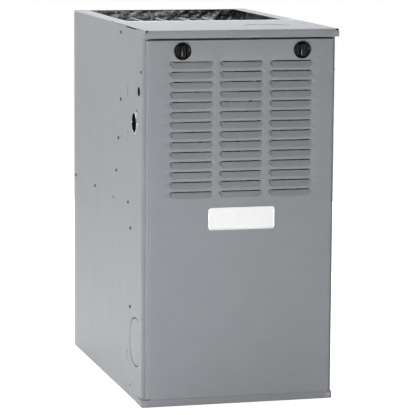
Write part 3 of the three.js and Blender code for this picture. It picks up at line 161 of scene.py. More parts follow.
def surface(name, dark, light, patch, rough, metal=0.0, grain=1.5, relief=0.05, spangle=False,
            gloss=0.0, ior=1.5):
    """A finish from two noises in object space. The larger, with patches of the given size in mm, moves
    the colour from dark to light. The smaller, of the grain's size, moves the roughness between its two
    values, and raises and sinks the surface by the relief in mm. A spangle has the cells of a crystal
    pattern in place of the larger noise, and its roughness follows them. Gloss is a clear coat."""
    finish = bpy.data.materials.new(name)
    finish.use_nodes = True
    tree = finish.node_tree
    shader = tree.nodes["Principled BSDF"]
    shader.inputs["Metallic"].default_value = metal
    shader.inputs["IOR"].default_value = ior
    shader.inputs["Coat Weight"].default_value = gloss
    shader.inputs["Coat Roughness"].default_value = 0.08
    place = tree.nodes.new("ShaderNodeTexCoord").outputs["Object"]
    if spangle:
        large = tree.nodes.new("ShaderNodeTexVoronoi")
        large.inputs["Randomness"].default_value = 1.0
        split = tree.nodes.new("ShaderNodeSeparateColor")
        tree.links.new(large.outputs["Color"], split.inputs[0])
        amount = split.outputs[0]
    else:
        large = tree.nodes.new("ShaderNodeTexNoise")
        large.inputs["Detail"].default_value = 5.0
        large.inputs["Roughness"].default_value = 0.6
        amount = large.outputs[0]
    large.inputs["Scale"].default_value = 1000.0 / patch
    tree.links.new(place, large.inputs["Vector"])
    colour = tree.nodes.new("ShaderNodeMix")
    colour.data_type = "RGBA"
    colour.inputs[6].default_value = (*dark, 1)
    colour.inputs[7].default_value = (*light, 1)
    spread = tree.nodes.new("ShaderNodeMapRange")
    spread.inputs["From Min"].default_value, spread.inputs["From Max"].default_value = 0.3, 0.7
    tree.links.new(amount, spread.inputs["Value"])
    tree.links.new(spread.outputs[0], colour.inputs[0])
    tree.links.new(colour.outputs[2], shader.inputs["Base Color"])
    shine = tree.nodes.new("ShaderNodeMapRange")
    shine.inputs["From Min"].default_value, shine.inputs["From Max"].default_value = 0.25, 0.75
    shine.inputs["To Min"].default_value, shine.inputs["To Max"].default_value = rough
    small = tree.nodes.new("ShaderNodeTexNoise")
    small.inputs["Scale"].default_value = 1000.0 / grain
    small.inputs["Detail"].default_value = 3.0
    tree.links.new(place, small.inputs["Vector"])
    tree.links.new(amount if spangle else small.outputs[0], shine.inputs["Value"])
    tree.links.new(shine.outputs[0], shader.inputs["Roughness"])
    bump = tree.nodes.new("ShaderNodeBump")
    bump.inputs["Distance"].default_value = relief / 1000.0
    bump.inputs["Strength"].default_value = 0.6
    tree.links.new(small.outputs[0], bump.inputs["Height"])
    tree.links.new(bump.outputs[0], shader.inputs["Normal"])
    return finish


def make_piece(name, parts, finish, body, replaced=None, thick=0.0, crease=35.0):
    """Puts sheets of grid points in mm into one mesh in metres. Each grid gives a face between every four
    neighbours, apart from the ones that its mask drops. Points within 0.02 mm of each other are joined,
    and points without a face go. A thickness in mm grows inwards from the outer skin, and edges sharper
    than the crease angle stay sharp."""
    points, faces, count = [], [], 0
    for part in parts:
        grid, keep = part if isinstance(part, tuple) else (part, None)
        index = count + np.arange(grid.shape[0] * grid.shape[1]).reshape(grid.shape[:2])
        quads = np.stack([index[:-1, :-1], index[:-1, 1:], index[1:, 1:], index[1:, :-1]], -1)
        faces.append(quads.reshape(-1, 4) if keep is None else quads[keep])
        points.append(grid.reshape(-1, 3))
        count += index.size
    points, faces = np.concatenate(points) / 1000.0, np.concatenate(faces)
    mesh = bpy.data.meshes.new(name)
    mesh.vertices.add(len(points))
    mesh.vertices.foreach_set("co", points.astype(np.float32).ravel())
    mesh.loops.add(faces.size)
    mesh.loops.foreach_set("vertex_index", faces.astype(np.int32).ravel())
    mesh.polygons.add(len(faces))
    mesh.polygons.foreach_set("loop_start", np.arange(0, faces.size, 4, dtype=np.int32))
    mesh.update(calc_edges=True)
    tidy = bmesh.new()
    tidy.from_mesh(mesh)
    bmesh.ops.remove_doubles(tidy, verts=tidy.verts, dist=0.00002)
    bmesh.ops.dissolve_degenerate(tidy, edges=tidy.edges, dist=0.000005)
    loose = [v for v in tidy.verts if not v.link_faces]
    bmesh.ops.delete(tidy, geom=loose, context="VERTS")
    tidy.to_mesh(mesh)
    tidy.free()
    piece = bpy.data.objects.new(name, mesh)
    bpy.context.scene.collection.objects.link(piece)
    if thick:
        wall = piece.modifiers.new("wall", "SOLIDIFY")
        wall.thickness, wall.offset, wall.use_even_offset = thick / 1000.0, -1.0, True
        wall.use_quality_normals = True
        settle(piece)
    dress(piece, finish, body, replaced, crease)


def settle(piece):
    """Makes the result of a piece's modifiers its own mesh."""
    bpy.context.view_layer.update()
    shaped = piece.evaluated_get(bpy.context.evaluated_depsgraph_get())
    mesh = bpy.data.meshes.new_from_object(shaped)
    piece.modifiers.clear()
    piece.data = mesh


def dress(piece, finish, body, replaced, crease):
    """Gives a piece its finish, its body and the CAD part that it stands for, and smooths its
    faces up to the crease angle."""
    mesh = piece.data
    mesh.materials.clear()
    mesh.materials.append(finish)
    mesh.polygons.foreach_set("use_smooth", np.ones(len(mesh.polygons), bool))
    mesh.set_sharp_from_angle(angle=np.radians(crease))
    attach(piece, body)
    if replaced:
        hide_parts(replaced)


def pressed_sheet(across, up, marks):
    """A flat sheet as (across, up, depth) points. Its grid lines are the given ones and those of each
    mark's square. Inside a square the grid gives way to rings: the square's edge is drawn in along
    straight rays to a circle of each radius in turn, sunk to that radius's depth. A closed mark ends
    in a point at its middle, and an open one is a hole. A ring's third value draws it in further where
    its ray points up or down: by that value times the eighth power of the ray's upward part."""
    for a, u, half, steps, rings, closed in marks:
        across = np.append(across, a + half * np.linspace(-1, 1, steps + 1))
        up = np.append(up, u + half * np.linspace(-1, 1, steps + 1))
    across, up = np.unique(np.round(across, 3)), np.unique(np.round(up, 3))
    a_grid, u_grid = np.meshgrid(across, up)
    keep = np.ones((len(up) - 1, len(across) - 1), bool)
    rings_of = []
    for a, u, half, steps, rings, closed in marks:
        i0, i1 = (np.argmin(abs(across - a - s * half)) for s in (-1, 1))
        j0, j1 = (np.argmin(abs(up - u - s * half)) for s in (-1, 1))
        keep[j0:j1, i0:i1] = False
        i = np.concatenate([np.arange(i0, i1), np.full(j1 - j0, i1), np.arange(i1, i0, -1),
                            np.full(j1 - j0, i0), [i0]])
        j = np.concatenate([np.full(i1 - i0, j0), np.arange(j0, j1), np.full(i1 - i0, j1),
                            np.arange(j1, j0, -1), [j0]])
        edge = np.stack([across[i], up[j]], -1)
        ray = edge - (a, u)
        ray /= np.linalg.norm(ray, axis=1, keepdims=True)
        rows = [np.column_stack([edge, 0 * i])]
        for r, deep, *gape in rings:
            reach = r - sum(gape) * abs(ray[:, 1:]) ** 8
            rows.append(np.column_stack([(a, u) + ray * reach, np.full(len(i), deep)]))
        if closed:
            rows.append(np.column_stack([(a, u) + 0 * ray, np.full(len(i), rings[-1][1])]))
        rings_of.append(np.array(rows))
    flat = (np.stack([a_grid, u_grid, 0 * a_grid], -1), keep)
    return across, up, [flat] + rings_of


def placed(parts, where):
    """Moves (across, up, depth) points into the furnace: where() gives x, y, z for the three values."""
    moved = []
    for part in parts:
        grid, keep = part if isinstance(part, tuple) else (part, None)
        moved.append((np.stack(np.broadcast_arrays(*where(grid[..., 0], grid[..., 1], grid[..., 2])), -1),
                      keep))
    return moved


def fold(edge, along, towards, radius, width, steps=4):
    """Bends a sheet at an edge line: a quarter circle of the radius from its own direction into a new
    one, then straight on by the width. Rows go outwards from the edge, and columns follow it."""
    angle = np.linspace(0, np.pi / 2, steps + 1)[:, None, None]
    along, towards = np.array(along, float), np.array(towards, float)
    arc = edge + radius * (np.sin(angle) * along + (1 - np.cos(angle)) * towards)
    return np.concatenate([arc, arc[-1:] + width * towards]) if width else arc


def dent(a, u, radius=4.4):
    """A clinched joint: a round cup a little less deep than its radius."""
    rings = [(radius + 0.4, 0), (radius, 0.4), (radius * 0.82, radius * 0.6),
             (radius * 0.45, radius * 0.8)]
    return (a, u, radius + 1.0, 6, rings, True)


def turned_about(at, outward, up, profile, sides=24):
    """A shape turned about an axis that points outward: a circle of each radius of the profile in turn,
    at its height above the point, from the outer foot over the crown."""
    angle = np.linspace(0, 2 * np.pi, sides + 1)
    at, outward, up = (np.array(v, float) for v in (at, outward, up))
    r, high = np.array(profile, float).T[..., None]
    round_it = np.cos(angle)[:, None] * np.cross(up, outward) + np.sin(angle)[:, None] * up
    return at + r[..., None] * round_it + high[..., None] * outward


def knockout(a, u, radius, steps=8, room=2.0, sunk=0.55, gape=0.0):
    """A sheared disc, pushed in by a little and held at its sides, in a narrow groove that gapes at top
    and bottom by the given width. A groove that gapes is deeper too."""
    deep = 1.6 + 1.5 * gape
    rings = [(radius + 0.6, 0), (radius + 0.4, 0.1), (radius + 0.25, deep), (radius - 0.6, deep, gape),
             (radius - 0.8, sunk, gape), (radius - 3.4, sunk * 0.8, gape)]
    return (a, u, radius + room, steps, rings, True)


def hole(a, u, radius, steps=8, room=2.4):
    """A round hole whose edge is drawn out into a low lip."""
    rings = [(radius + 1.9, 0), (radius + 1.4, -0.3), (radius + 0.8, -0.9), (radius + 0.45, -1.1),
             (radius + 0.15, -1.1), (radius, -0.9), (radius, 0.2)]
    return (a, u, radius + room, steps, rings, False)


enamel = surface("grey_enamel", (0.250, 0.261, 0.278), (0.268, 0.279, 0.296), 60, (0.38, 0.50), grain=1.1,
                 relief=0.02, ior=1.38)

left_marks = [hole(-gas_y, gas_z, gas_radius, room=1.9), hole(-wire_y, wire_z, wire_radius)]
right_marks = [knockout(gas_y, gas_z, gas_radius, 12), knockout(wire_y, wire_z, wire_radius)]
for side, marks in ((-1, left_marks), (1, right_marks)):
    marks += [knockout(side * small_y, z, small_radius) for z in small_zs]
    marks.append(knockout(side * low_y, low_z, low_radius, 16, room=0.65, gape=2.2))
back_marks = [dent(a, u) for a in (-180, 0, 180) for u in (60, 437, 800)]
side_top, side_foot = under_plate - top_bend, side_bend
flat_depth = half_depth - side_bend
every_up = [u + half * np.linspace(-1, 1, steps + 1)
            for a, u, half, steps, rings, closed in left_marks + right_marks + back_marks]
every_up = np.concatenate(every_up + [np.linspace(side_foot, side_top, 20)])
every_y = np.append(np.linspace(-flat_depth, flat_depth, 18), [plate_end, slit_front, slit_rear])
across_left, rows, left = pressed_sheet(-every_y, every_up, left_marks)
across_right, rows, right_side = pressed_sheet(every_y, every_up, right_marks)
across_back, rows, rear = pressed_sheet(np.linspace(side_bend - half_width, half_width - side_bend, 12),
                                        every_up, back_marks)
casing = placed(left, lambda a, u, d: (d - half_width, -a, u))
casing += placed(right_side, lambda a, u, d: (half_width - d, a, u))
casing += placed(rear, lambda a, u, d: (-a, half_depth - d, u))


def line(x, y, z):
    """Points along a line, from values that are single numbers or arrays."""
    return np.stack(np.broadcast_arrays(x, y, z), -1).astype(float)


casing.append(fold(line(-half_width, -flat_depth, rows[::-1]), (0, -1, 0), (1, 0, 0), side_bend,
                   front_flange - side_bend))
casing.append(fold(line(half_width, -flat_depth, rows), (0, -1, 0), (-1, 0, 0), side_bend,
                   front_flange - side_bend))
casing.append(fold(line(-half_width, flat_depth, rows), (0, 1, 0), (1, 0, 0), side_bend, 0))
casing.append(fold(line(half_width, flat_depth, rows[::-1]), (0, 1, 0), (-1, 0, 0), side_bend, 0))
for side, across in ((-1, across_left), (1, across_right)):
    y = -across if side < 0 else across
    ahead, behind = y <= plate_end, y >= plate_end
    slit = (y > slit_front - 0.1) & (y < slit_rear + 0.1)
    whole = ~(slit[:-1] & slit[1:])[ahead[1:] & ahead[:-1]]
    low = fold(line(side * half_width, y, side_top), (0, 0, 1), (-side, 0, 0), top_bend,
               top_flange - top_bend)
    casing.append((low[:, ahead], np.broadcast_to(whole, (len(low) - 1, len(whole)))))
    step = line(side * half_width, y[behind], np.array([side_top, height - top_bend])[:, None])
    casing.append(step)
    casing.append(fold(step[-1], (0, 0, 1), (-side, 0, 0), top_bend, top_flange - top_bend))
    casing.append(fold(line(side * half_width, y[::-1], side_foot), (0, 0, -1), (-side, 0, 0), side_bend,
                       bottom_flange - side_bend))
step = line(-across_back, half_depth, np.array([side_top, height - top_bend])[:, None])
casing.append(step)
casing.append(fold(step[-1], (0, 0, 1), (0, -1, 0), top_bend, rear_top_flange - top_bend))
casing.append(fold(line(-across_back[::-1], half_depth, side_foot), (0, 0, -1), (0, -1, 0), side_bend,
                   bottom_flange - side_bend))
make_piece("casing", casing, enamel, "casing", "casing_wrapper", thick=sheet_thickness)

# ---- Rivets and sleeves of the sides ----
# Blackened steel rivets hold the inner panels to the casing's sides. A black rubber sleeve lines the
# gas hole and the wire hole, so that neither pipe nor wire rubs on the sheet; its near-black walls are
# also painted shade for the dark inside of both holes. A zinc-plated ring is pressed over the gas hole's
# lip.
blackened = surface("blackened_rivet", (0.030, 0.031, 0.034), (0.060, 0.062, 0.066), 3, (0.35, 0.5),
                    metal=0.3, grain=0.8, relief=0.03)
# Near-black rubber: the sleeves' own colour, and painted shade for the inside of the holes that the
# sleeves fill.
rubber = surface("black_rubber_painted_shade", (0.004, 0.004, 0.004), (0.007, 0.007, 0.007), 9, (0.8, 0.9), grain=0.7,
                 relief=0.03, ior=1.12)
zinc = surface("zinc_plate", (0.24, 0.24, 0.24), (0.36, 0.36, 0.355), 6, (0.18, 0.32), metal=0.9,
               grain=1.0, relief=0.03)
rivet = [(0.0, 0.0), (3.8, 0.0), (3.8, 0.9), (3.6, 1.6), (3.1, 2.1), (2.3, 2.4), (1.5, 2.45), (1.2, 2.0),
         (0.0, 1.9)]
small_rivet = [(0.0, 0.0), (2.3, 0.0), (2.3, 0.5), (2.0, 1.1), (1.4, 1.5), (0.0, 1.6)]
rivet_places = [(-157, 827.5, rivet), (-155, 674, rivet), (-132, 583, rivet), (-110, 505, rivet),
                (-80, 438.6, small_rivet), (117, 439, rivet), (337, 437, rivet), (-229, 447, rivet),
                (-252, 391, rivet), (-250, 210, rivet), (-352, 752, rivet), (-311, 663, small_rivet)]
for side, name in ((-1, "left"), (1, "right")):
    heads = [turned_about((side * half_width, y, z), (side, 0, 0), (0, 0, 1), head)
             for y, z, head in rivet_places]
    make_piece("rivets_" + name, heads, blackened, "casing", crease=50)
ring = [(25.3, 0.0), (25.2, 0.5), (24.3, 1.5), (23.4, 2.2), (22.7, 2.4), (22.3, 2.2), (22.15, 1.7),
        (22.15, 0.8), (25.3, 0.0)]
make_piece("gas_hole_ring", [turned_about((-half_width, gas_y, gas_z), (-1, 0, 0), (0, 0, 1), ring, 64)],
           zinc, "casing", crease=60)
for name, y, z, radius, deep in (("gas_hole_sleeve", gas_y, gas_z, gas_radius, 12.0),
                                 ("wire_hole_sleeve", wire_y, wire_z, wire_radius, 6.5)):
    sleeve_wall = [(radius - 0.15, -deep), (radius - 0.15, 0.6), (radius - 0.5, 1.0), (radius - 1.0, 0.9),
                   (radius - 1.3, 0.4), (radius - 1.3, -deep), (radius - 0.15, -deep)]
    make_piece(name, [turned_about((-half_width, y, z), (-1, 0, 0), (0, 0, 1), sleeve_wall, 48)], rubber,
               "casing", crease=50)

# ---- Foil liner ----
# Glass-fibre blanket with a crumpled aluminium foil face, glued inside the upper part of the casing,
# on the left, the back and the right.
liner_x, liner_y, liner_foot, liner_head = 214.95, 353.2, 439.5, 844.4
side_crumple, rear_crumple, behind_side, behind_rear, corner_gap = 4.6, 5.0, 3.5, 4.0, 1.0
liner_front, liner_back, panel_bend, panel_lean = -149.0, 72.0, 674.0, 236.0


def crumple(across, up, height, seed):
    """Creased foil: the sum of triangle waves that run in random directions, each bent by a slow wave
    of its own, from about 60 mm down to 6 mm long, scaled to the height."""
    rng = np.random.default_rng(seed)
    total = np.zeros(np.broadcast(across, up).shape)
    for length in 60 * 0.87 ** np.arange(17):
        angle, phase, sway = rng.uniform(0, 2 * np.pi, 3)
        run = across * np.cos(angle) + up * np.sin(angle)
        beside = up * np.cos(angle) - across * np.sin(angle)
        bent = run / length + 0.35 * np.sin(beside / (1.7 * length) + sway)
        total += length ** 0.62 * abs((bent + phase) % 1.0 - 0.5)
    return height * (total - total.min()) / np.ptp(total)


# The foil's colour runs in small random patches from near black to mid grey: painted shade and painted
# glints of crumpled foil, and far darker overall than bare foil as painted shade for the inside of the
# cabinet.
foil = surface("liner_foil", (0.02, 0.021, 0.023), (0.50, 0.51, 0.52), 7, (0.10, 0.30), metal=0.95,
               grain=3.5, relief=1.3)
# The rows lie closer together above 739 mm, where the foil shows in the open top.
z = np.append(np.linspace(liner_foot, 736, 46), np.linspace(739, liner_head, 38))[:, None]
edge_y = liner_front + liner_back * np.clip((panel_bend - z) / panel_lean, 0, 1)
y = liner_y - corner_gap + (edge_y - liner_y + corner_gap) * np.linspace(0, 1, 126)
x = np.linspace(liner_x - corner_gap, corner_gap - liner_x, 116)
walls = [
    line(-liner_x - behind_side + crumple(y, z, side_crumple, 3), y, z)[:, ::-1],
    line(liner_x + behind_side - crumple(y, z, side_crumple, 5), y, z),
    line(x, liner_y + behind_rear - crumple(x, z, rear_crumple, 9), z)[:, ::-1],
]
make_piece("foil_face", walls, foil, "casing", "foil_liner", thick=0.5, crease=25)

# ---- Heat exchanger ----
# Four clamshell cells of aluminised steel, each pressed as a serpentine of flattened passes and
# crimped along a flat seam. The burner end is low at the front and the flue end high.
cell_xs, cell_rear, cell_foot, cell_head = (-90.0, -30.0, 30.0, 90.0), 290.0, 520.0, 830.0
seam, hem_width, hem_rise, crimp = 0.6, 5.5, 1.3, 0.9
pass_bulge, pass_corner, corner_cut, corner_height = 14.4, 12.0, 70.0, 12.0
panel_y, panel_back, panel_gap = -156.0, 76.0, 2.0
# The passes: where each begins and ends in y, then in z.
passes = [(-170, 245, 542, 608), (-93, 245, 634, 682), (-116, 245, 706, 746), (-200, 245, 771, 805),
          (193, 245, 575, 658), (-93, -41, 658, 726), (193, 245, 726, 788)]


def panel_front(z):
    """The y of the cell panel's face: upright above the bend, and leaning back to the deck below it."""
    return panel_y + panel_back * np.clip((panel_bend - z) / panel_lean, 0, 1)


def pass_height(y, z):
    """How far a shell bulges from the seam: a quarter round from the outline of the nearest pass, flat
    beyond it. The outline is the signed distance to rounded rectangles, joined."""
    deepest = np.full(np.broadcast(y, z).shape, -50.0)
    for y0, y1, z0, z1 in passes:
        side = abs(y - (y0 + y1) / 2) - (y1 - y0) / 2 + pass_corner
        end = abs(z - (z0 + z1) / 2) - (z1 - z0) / 2 + pass_corner
        outside = np.hypot(np.maximum(side, 0), np.maximum(end, 0)) + np.minimum(np.maximum(side, end), 0)
        deepest = np.maximum(deepest, pass_corner - outside)
    t = np.clip(deepest / pass_bulge, 0, 1)
    return pass_bulge * np.sqrt(1 - (1 - t) ** 2)


aluminised = surface("aluminised_steel", (0.30, 0.302, 0.305), (0.44, 0.44, 0.445), 40, (0.38, 0.58),
                     metal=0.6, grain=2.5, relief=0.12)
# The lines of the grid close up at the hem of the head and the rear. The front corner is cut back.
z = np.append(np.linspace(cell_foot, cell_head - 6.5, 74), cell_head - np.array([5, 0.8, 0]))[:, None]
cut_back = corner_cut * np.clip((z - cell_head + corner_height) / corner_height, 0, 1) ** 2
front_y = panel_front(z) + panel_gap + cut_back
y = front_y + (cell_rear - front_y) * np.concatenate([np.linspace(0, 0.985, 98), [0.99, 0.998, 1]])
from_hem = np.minimum(cell_head - z, cell_rear - y)
bulge = seam + pass_height(y, z) + hem_rise * (from_hem < hem_width)
for number, x in enumerate(cell_xs, 1):
    left_shell, right_shell = line(x - bulge, y, z), line(x + bulge, y, z)
    left_shell[-1, :, 0] += crimp
    right_shell[-1, :, 0] -= crimp
    shells = [left_shell[:, ::-1], right_shell]
    rims = [np.stack([left_shell[0], right_shell[0]]), np.stack([right_shell[-1], left_shell[-1]]),
            np.stack([left_shell[::-1, 0], right_shell[::-1, 0]]),
            np.stack([right_shell[::-1, -1], left_shell[::-1, -1]])]
    make_piece(f"exchanger_cell_{number}", shells + rims, aluminised, "casing",
               f"heat_exchanger_cell_{number}", crease=40)

# ---- Top plate ----
# The front part of the top, bent from one sheet: a deep lip over the door, a return under it, and the
# sheared ring of the vent. Its sides are tucked inside the casing, and its front corners are relieved.
lip_y, lip_foot, lip_rear, plate_rear = -388.5, 828.0, -360.8, -92.0
lip_bend, edge_bend, return_bend = 3.0, 1.2, 2.0
corner_relief, above_return = 5.5, 1.1
vent_x, vent_y, vent_radius = 91.0, -270.0, 50.8
plate_x = half_width - edge_bend
vent_ring = knockout(vent_x, vent_y, vent_radius, 16, room=2.5, sunk=0.6)
whole_x = plate_x - corner_relief
across, up, plate = pressed_sheet(np.append(np.linspace(-plate_x, plate_x, 14), [-whole_x, whole_x]),
                                  np.append(np.linspace(lip_y + lip_bend, plate_rear, 10), lip_rear),
                                  [vent_ring])
plate = placed(plate, lambda a, u, d: (a, u, height - d))
between_sides = abs(across) < plate_x - 0.1
plate.append(fold(line(across[between_sides][::-1], lip_y + lip_bend, height), (0, -1, 0),
                  (0, 0, -1), lip_bend, 0))
lip_x = np.concatenate([[half_width], across[::-1], [-half_width]])
lip_up = np.array([height - lip_bend, height - lip_bend - edge_bend, lip_foot + return_bend])
lip = line(lip_x, lip_y, lip_up[:, None])
whole_lip = np.ones((2, len(lip_x) - 1), bool)
whole_lip[0] = abs(lip_x[1:] + lip_x[:-1]) / 2 < whole_x
plate += [(lip, whole_lip),
          fold(lip[-1], (0, 0, -1), (0, 1, 0), return_bend, lip_rear - lip_y - return_bend)]
ahead, behind = up <= lip_rear, up >= lip_rear
for side in (-1, 1):
    y_line = up[::-side]
    y_lip, y_rear = y_line[ahead[::-side]], y_line[behind[::-side]]
    plate.append(fold(line(side * plate_x, y_lip, height), (side, 0, 0), (0, 0, -1), edge_bend,
                      height - edge_bend - lip_foot - above_return))
    plate.append(fold(line(side * plate_x, y_rear, height), (side, 0, 0), (0, 0, -1), edge_bend, 0, 3))
make_piece("top_plate", plate, enamel, "casing", "top_front_plate", thick=sheet_thickness)

# ---- Door ----
# One pressed sheet of painted steel with three columns of louvres, a stepped edge down each side and
# a flange across top and bottom. A tongue at the foot drops behind the base rail.
door_y, door_x, door_foot, door_head = -382.5, 210.75, 20.0, 823.5
door_rear, door_bend, step_bend, notch = -360.8, 1.3, 0.9, 1.7
edge_depth, ledge_width, flange_depth, flange_hem = 9.4, 4.75, 12.3, 10.0
tongue_x, tongue_y, tongue_bend, tongue_depth = 190.0, -366.3, 1.5, 10.5
column_pitch, first_slit, louvre_pitch, louvre_rows = 114.3, 774.0, 22.225, 14
pocket_half, pocket_height, pocket_depth, pocket_middle = 52.0, 13.0, 5.6, 5.0
end_slant, end_curve, straight_below, foot_short = 2.5, 7.5, 4.0, 3.0
gentle_share, gentle_width, steep_from, steep_width = 0.24, 2.2, 2.0, 2.4
slit_height, slit_half, slit_edge, slit_share = 3.0, 45.3, 0.35, 0.86
louvre_x = np.array([-column_pitch, 0.0, column_pitch])
shares = np.array([0.0, 0.4, 0.7, slit_half / pocket_half, 0.905, 0.93, 0.945, 0.96, 0.975, 0.99, 1.005])
shares = np.concatenate([-shares[:0:-1], shares])
drops = np.array([slit_height + 0.8, slit_height, 0.0, -0.5, -1.2, -3.5, -6.5, -9.5, -11.8, -12.5, -13.0,
                  -13.6, -16.5])
slits = first_slit - louvre_pitch * np.arange(louvre_rows)
edge_x, notch_head = door_x - door_bend, door_foot + door_bend + notch
across = np.append(louvre_x[:, None] + pocket_half * shares, [-column_pitch / 2, column_pitch / 2])
across = np.append(across, [-edge_x, notch - edge_x, -tongue_x, tongue_x, edge_x - notch, edge_x])
up = np.append(slits[:, None] + drops, np.linspace(60, 440, 9))
up = np.append(up, [door_foot + door_bend, notch_head, 800, door_head - door_bend])
across, up = np.unique(np.round(across, 3)), np.unique(np.round(up, 3))
x, z = np.meshgrid(across, up)
nearest = louvre_x[np.argmin(abs(x[..., None] - louvre_x), -1)]
share = (x - nearest) / pocket_half
row = np.clip(np.round((first_slit - pocket_middle - z) / louvre_pitch), 0, louvre_rows - 1)
drop = z - (first_slit - row * louvre_pitch)


def ease(t):
    """0 below 0, 1 above 1, and a smooth rise between them: 3 t^2 - 2 t^3."""
    t = np.clip(t, 0, 1)
    return t * t * (3 - 2 * t)


# A pocket's outline draws in towards its foot, and is straight again a little below it. Its floor
# sinks deeper from the foot up to the slit. Its end walls fall gently at first, then steeply.
down = np.clip(-drop / pocket_height, 0, 1)
drawn_in = end_slant * down + end_curve * down ** 3
half = pocket_half - drawn_in * (1 - ease((-drop - pocket_height) / straight_below))
inside = abs(share) < 1.01
ramp = np.clip((drop + pocket_height) / pocket_height, 0, 1)
ramp = np.where(drop > 0, np.clip((slit_height + 0.6 - drop) / (slit_height + 0.6), 0, 1), ramp)
from_end = (1.0 - abs(share)) * pocket_half
end_wall = gentle_share * np.clip(from_end / gentle_width, 0, 1)
end_wall += (1 - gentle_share) * ease((from_end - steep_from) / steep_width)
depth = pocket_depth * end_wall * ramp * (inside & (drop > -pocket_height - 0.1))
depth = np.where((abs(drop - slit_height) < 0.05) & (abs(share) < 0.88), slit_edge, depth)
x = np.where(inside, nearest + share * half, x)
middle_share = (share[1:, 1:] + share[1:, :-1]) / 2
middle_drop = (drop[1:, 1:] + drop[:-1, 1:]) / 2
same_louvre = (nearest[1:, 1:] == nearest[1:, :-1]) & (row[1:, 1:] == row[:-1, 1:])
slit = (abs(middle_share) < slit_share) & (middle_drop > 0) & (middle_drop < slit_height) & same_louvre
corner = (abs(x[1:, 1:] + x[1:, :-1]) / 2 > edge_x - notch) & (z[1:, 1:] < notch_head + 0.1)
door = [(np.stack([x, door_y + depth, z], -1), ~slit & ~corner)]
for side in (-1, 1):
    edge = line(side * edge_x, door_y, up[::-side])
    turned_back = fold(edge, (side, 0, 0), (0, 1, 0), door_bend, edge_depth - door_bend - step_bend)
    above_notch = (up[1:] > notch_head + 0.1)[::-side]
    arc = np.arange(len(turned_back) - 1)[:, None] < 4
    ledge = fold(turned_back[-1], (0, 1, 0), (side, 0, 0), step_bend, ledge_width - 2 * step_bend, 3)
    flange = fold(ledge[-1], (side, 0, 0), (0, 1, 0), step_bend, flange_depth - 2 * step_bend, 3)
    hem = fold(flange[-1], (0, 1, 0), (-side, 0, 0), step_bend, flange_hem - step_bend, 3)
    door += [(turned_back, ~arc | above_notch), ledge, flange, hem]
door.append(fold(line(across, door_y, up[-1]), (0, 0, 1), (0, 1, 0), door_bend,
                 door_rear - door_y - door_bend))
foot_fold = fold(line(across[::-1], door_y, up[0]), (0, 0, -1), (0, 1, 0), door_bend,
                 door_rear - door_y - door_bend - foot_short)
inner = (abs(across[1:] + across[:-1]) / 2 < edge_x - notch)[::-1]
door.append((foot_fold, (np.arange(len(foot_fold) - 1)[:, None] >= 4) | inner))
tongue = line(np.linspace(tongue_x, -tongue_x, 8), tongue_y, door_foot)
door.append(fold(tongue, (0, 1, 0), (0, 0, -1), tongue_bend, tongue_depth))
make_piece("door", door, enamel, "door", "front_door", thick=sheet_thickness)

# ---- Badge ----
# A bare badge, pressed from thin aluminium and glued to the door below the louvres: a white enamelled
# field in a bright raised rim with round corners.
badge_at, badge_size, badge_corner, glue = (1.0, 425.5), (153.0, 51.0), 6.0, 0.3


def rounded_loop(width, height, corner, steps=8):
    """A rectangle about (0, 0) with a quarter circle at each corner, as a closed loop of points that
    goes round to the left."""
    angle = np.concatenate([np.linspace(q, q + 1, steps + 1) for q in range(4)]) * np.pi / 2
    centre = np.repeat([(1, 1), (-1, 1), (-1, -1), (1, -1)], steps + 1, axis=0)
    loop = centre * (width / 2 - corner, height / 2 - corner)
    loop = loop + corner * np.column_stack([np.cos(angle), np.sin(angle)])
    return np.concatenate([loop, loop[:1]])


def stacked_loops(at, profile, size, corner, face):
    """A plaque facing -y at a point: a rounded rectangle, drawn in by each inset of the profile and
    raised by its height above the face, closed by a first and a last row at its middle."""
    rows = []
    for inset, high in profile:
        loop = rounded_loop(size[0] - 2 * inset, size[1] - 2 * inset, max(corner - inset, 0.4))
        rows.append(line(at[0] + loop[:, 0], face - high, at[1] + loop[:, 1]))
    back, middle = (rows[k] * (0, 1, 0) + (at[0], 0, at[1]) for k in (0, -1))
    return np.array([back] + rows + [middle])


bright = surface("bright_trim", (0.55, 0.56, 0.57), (0.66, 0.67, 0.68), 8, (0.16, 0.26), metal=0.9,
                 grain=0.5, relief=0.01)
white = surface("white_enamel", (0.90, 0.905, 0.90), (0.94, 0.942, 0.938), 30, (0.2, 0.28), grain=1.0,
                relief=0.008, gloss=0.3)
rim = [(0, 0.0), (0, 0.9), (0.25, 1.35), (0.7, 1.58), (1.3, 1.6), (1.8, 1.45), (2.1, 1.1), (2.2, 0.7)]
field = [(2.2, 0.7), (2.5, 0.95), (3.0, 1.02), (3.6, 1.02)]
rim_rows = stacked_loops(badge_at, rim + rim[:1], badge_size, badge_corner, door_y - glue)[1:-1]
field_rows = stacked_loops(badge_at, field, badge_size, badge_corner, door_y - glue)
make_piece("badge_rim", [rim_rows], bright, "door", crease=50)
make_piece("badge_field", [field_rows], white, "door", "badge_plate", crease=50)

# ---- Door knobs ----
# Moulded in glossy black plastic: a shallow dish with a rolled edge, and across it an upright finger
# grip on a broad foot. Each turns a quarter turn on the latch's shaft.
knob_x, knob_z, grip_corner = 137.4, 799.5, 0.62
gloss_black = surface("gloss_black", (0.002, 0.002, 0.0022), (0.004, 0.004, 0.0045), 14, (0.06, 0.11),
                      grain=1.5, relief=0.01, ior=1.30)


def turned_loop(at, profile, sides=48):
    """A shape turned about an axis along y: circles of the profile's radii at its y values."""
    angle = np.linspace(0, 2 * np.pi, sides + 1)
    r, y = np.array(profile, float).T
    return line(at[0] + r[:, None] * np.cos(angle), y[:, None], at[1] + r[:, None] * np.sin(angle))


knob_dish = [(0, -382.8), (19.0, -382.8), (19.6, -383.2), (19.6, -385.6), (19.2, -386.8), (18.5, -387.4),
             (17.7, -387.45), (17.2, -387.0), (16.9, -386.1), (16.7, -385.0), (16.3, -384.4),
             (15.7, -384.2), (0, -384.1)]
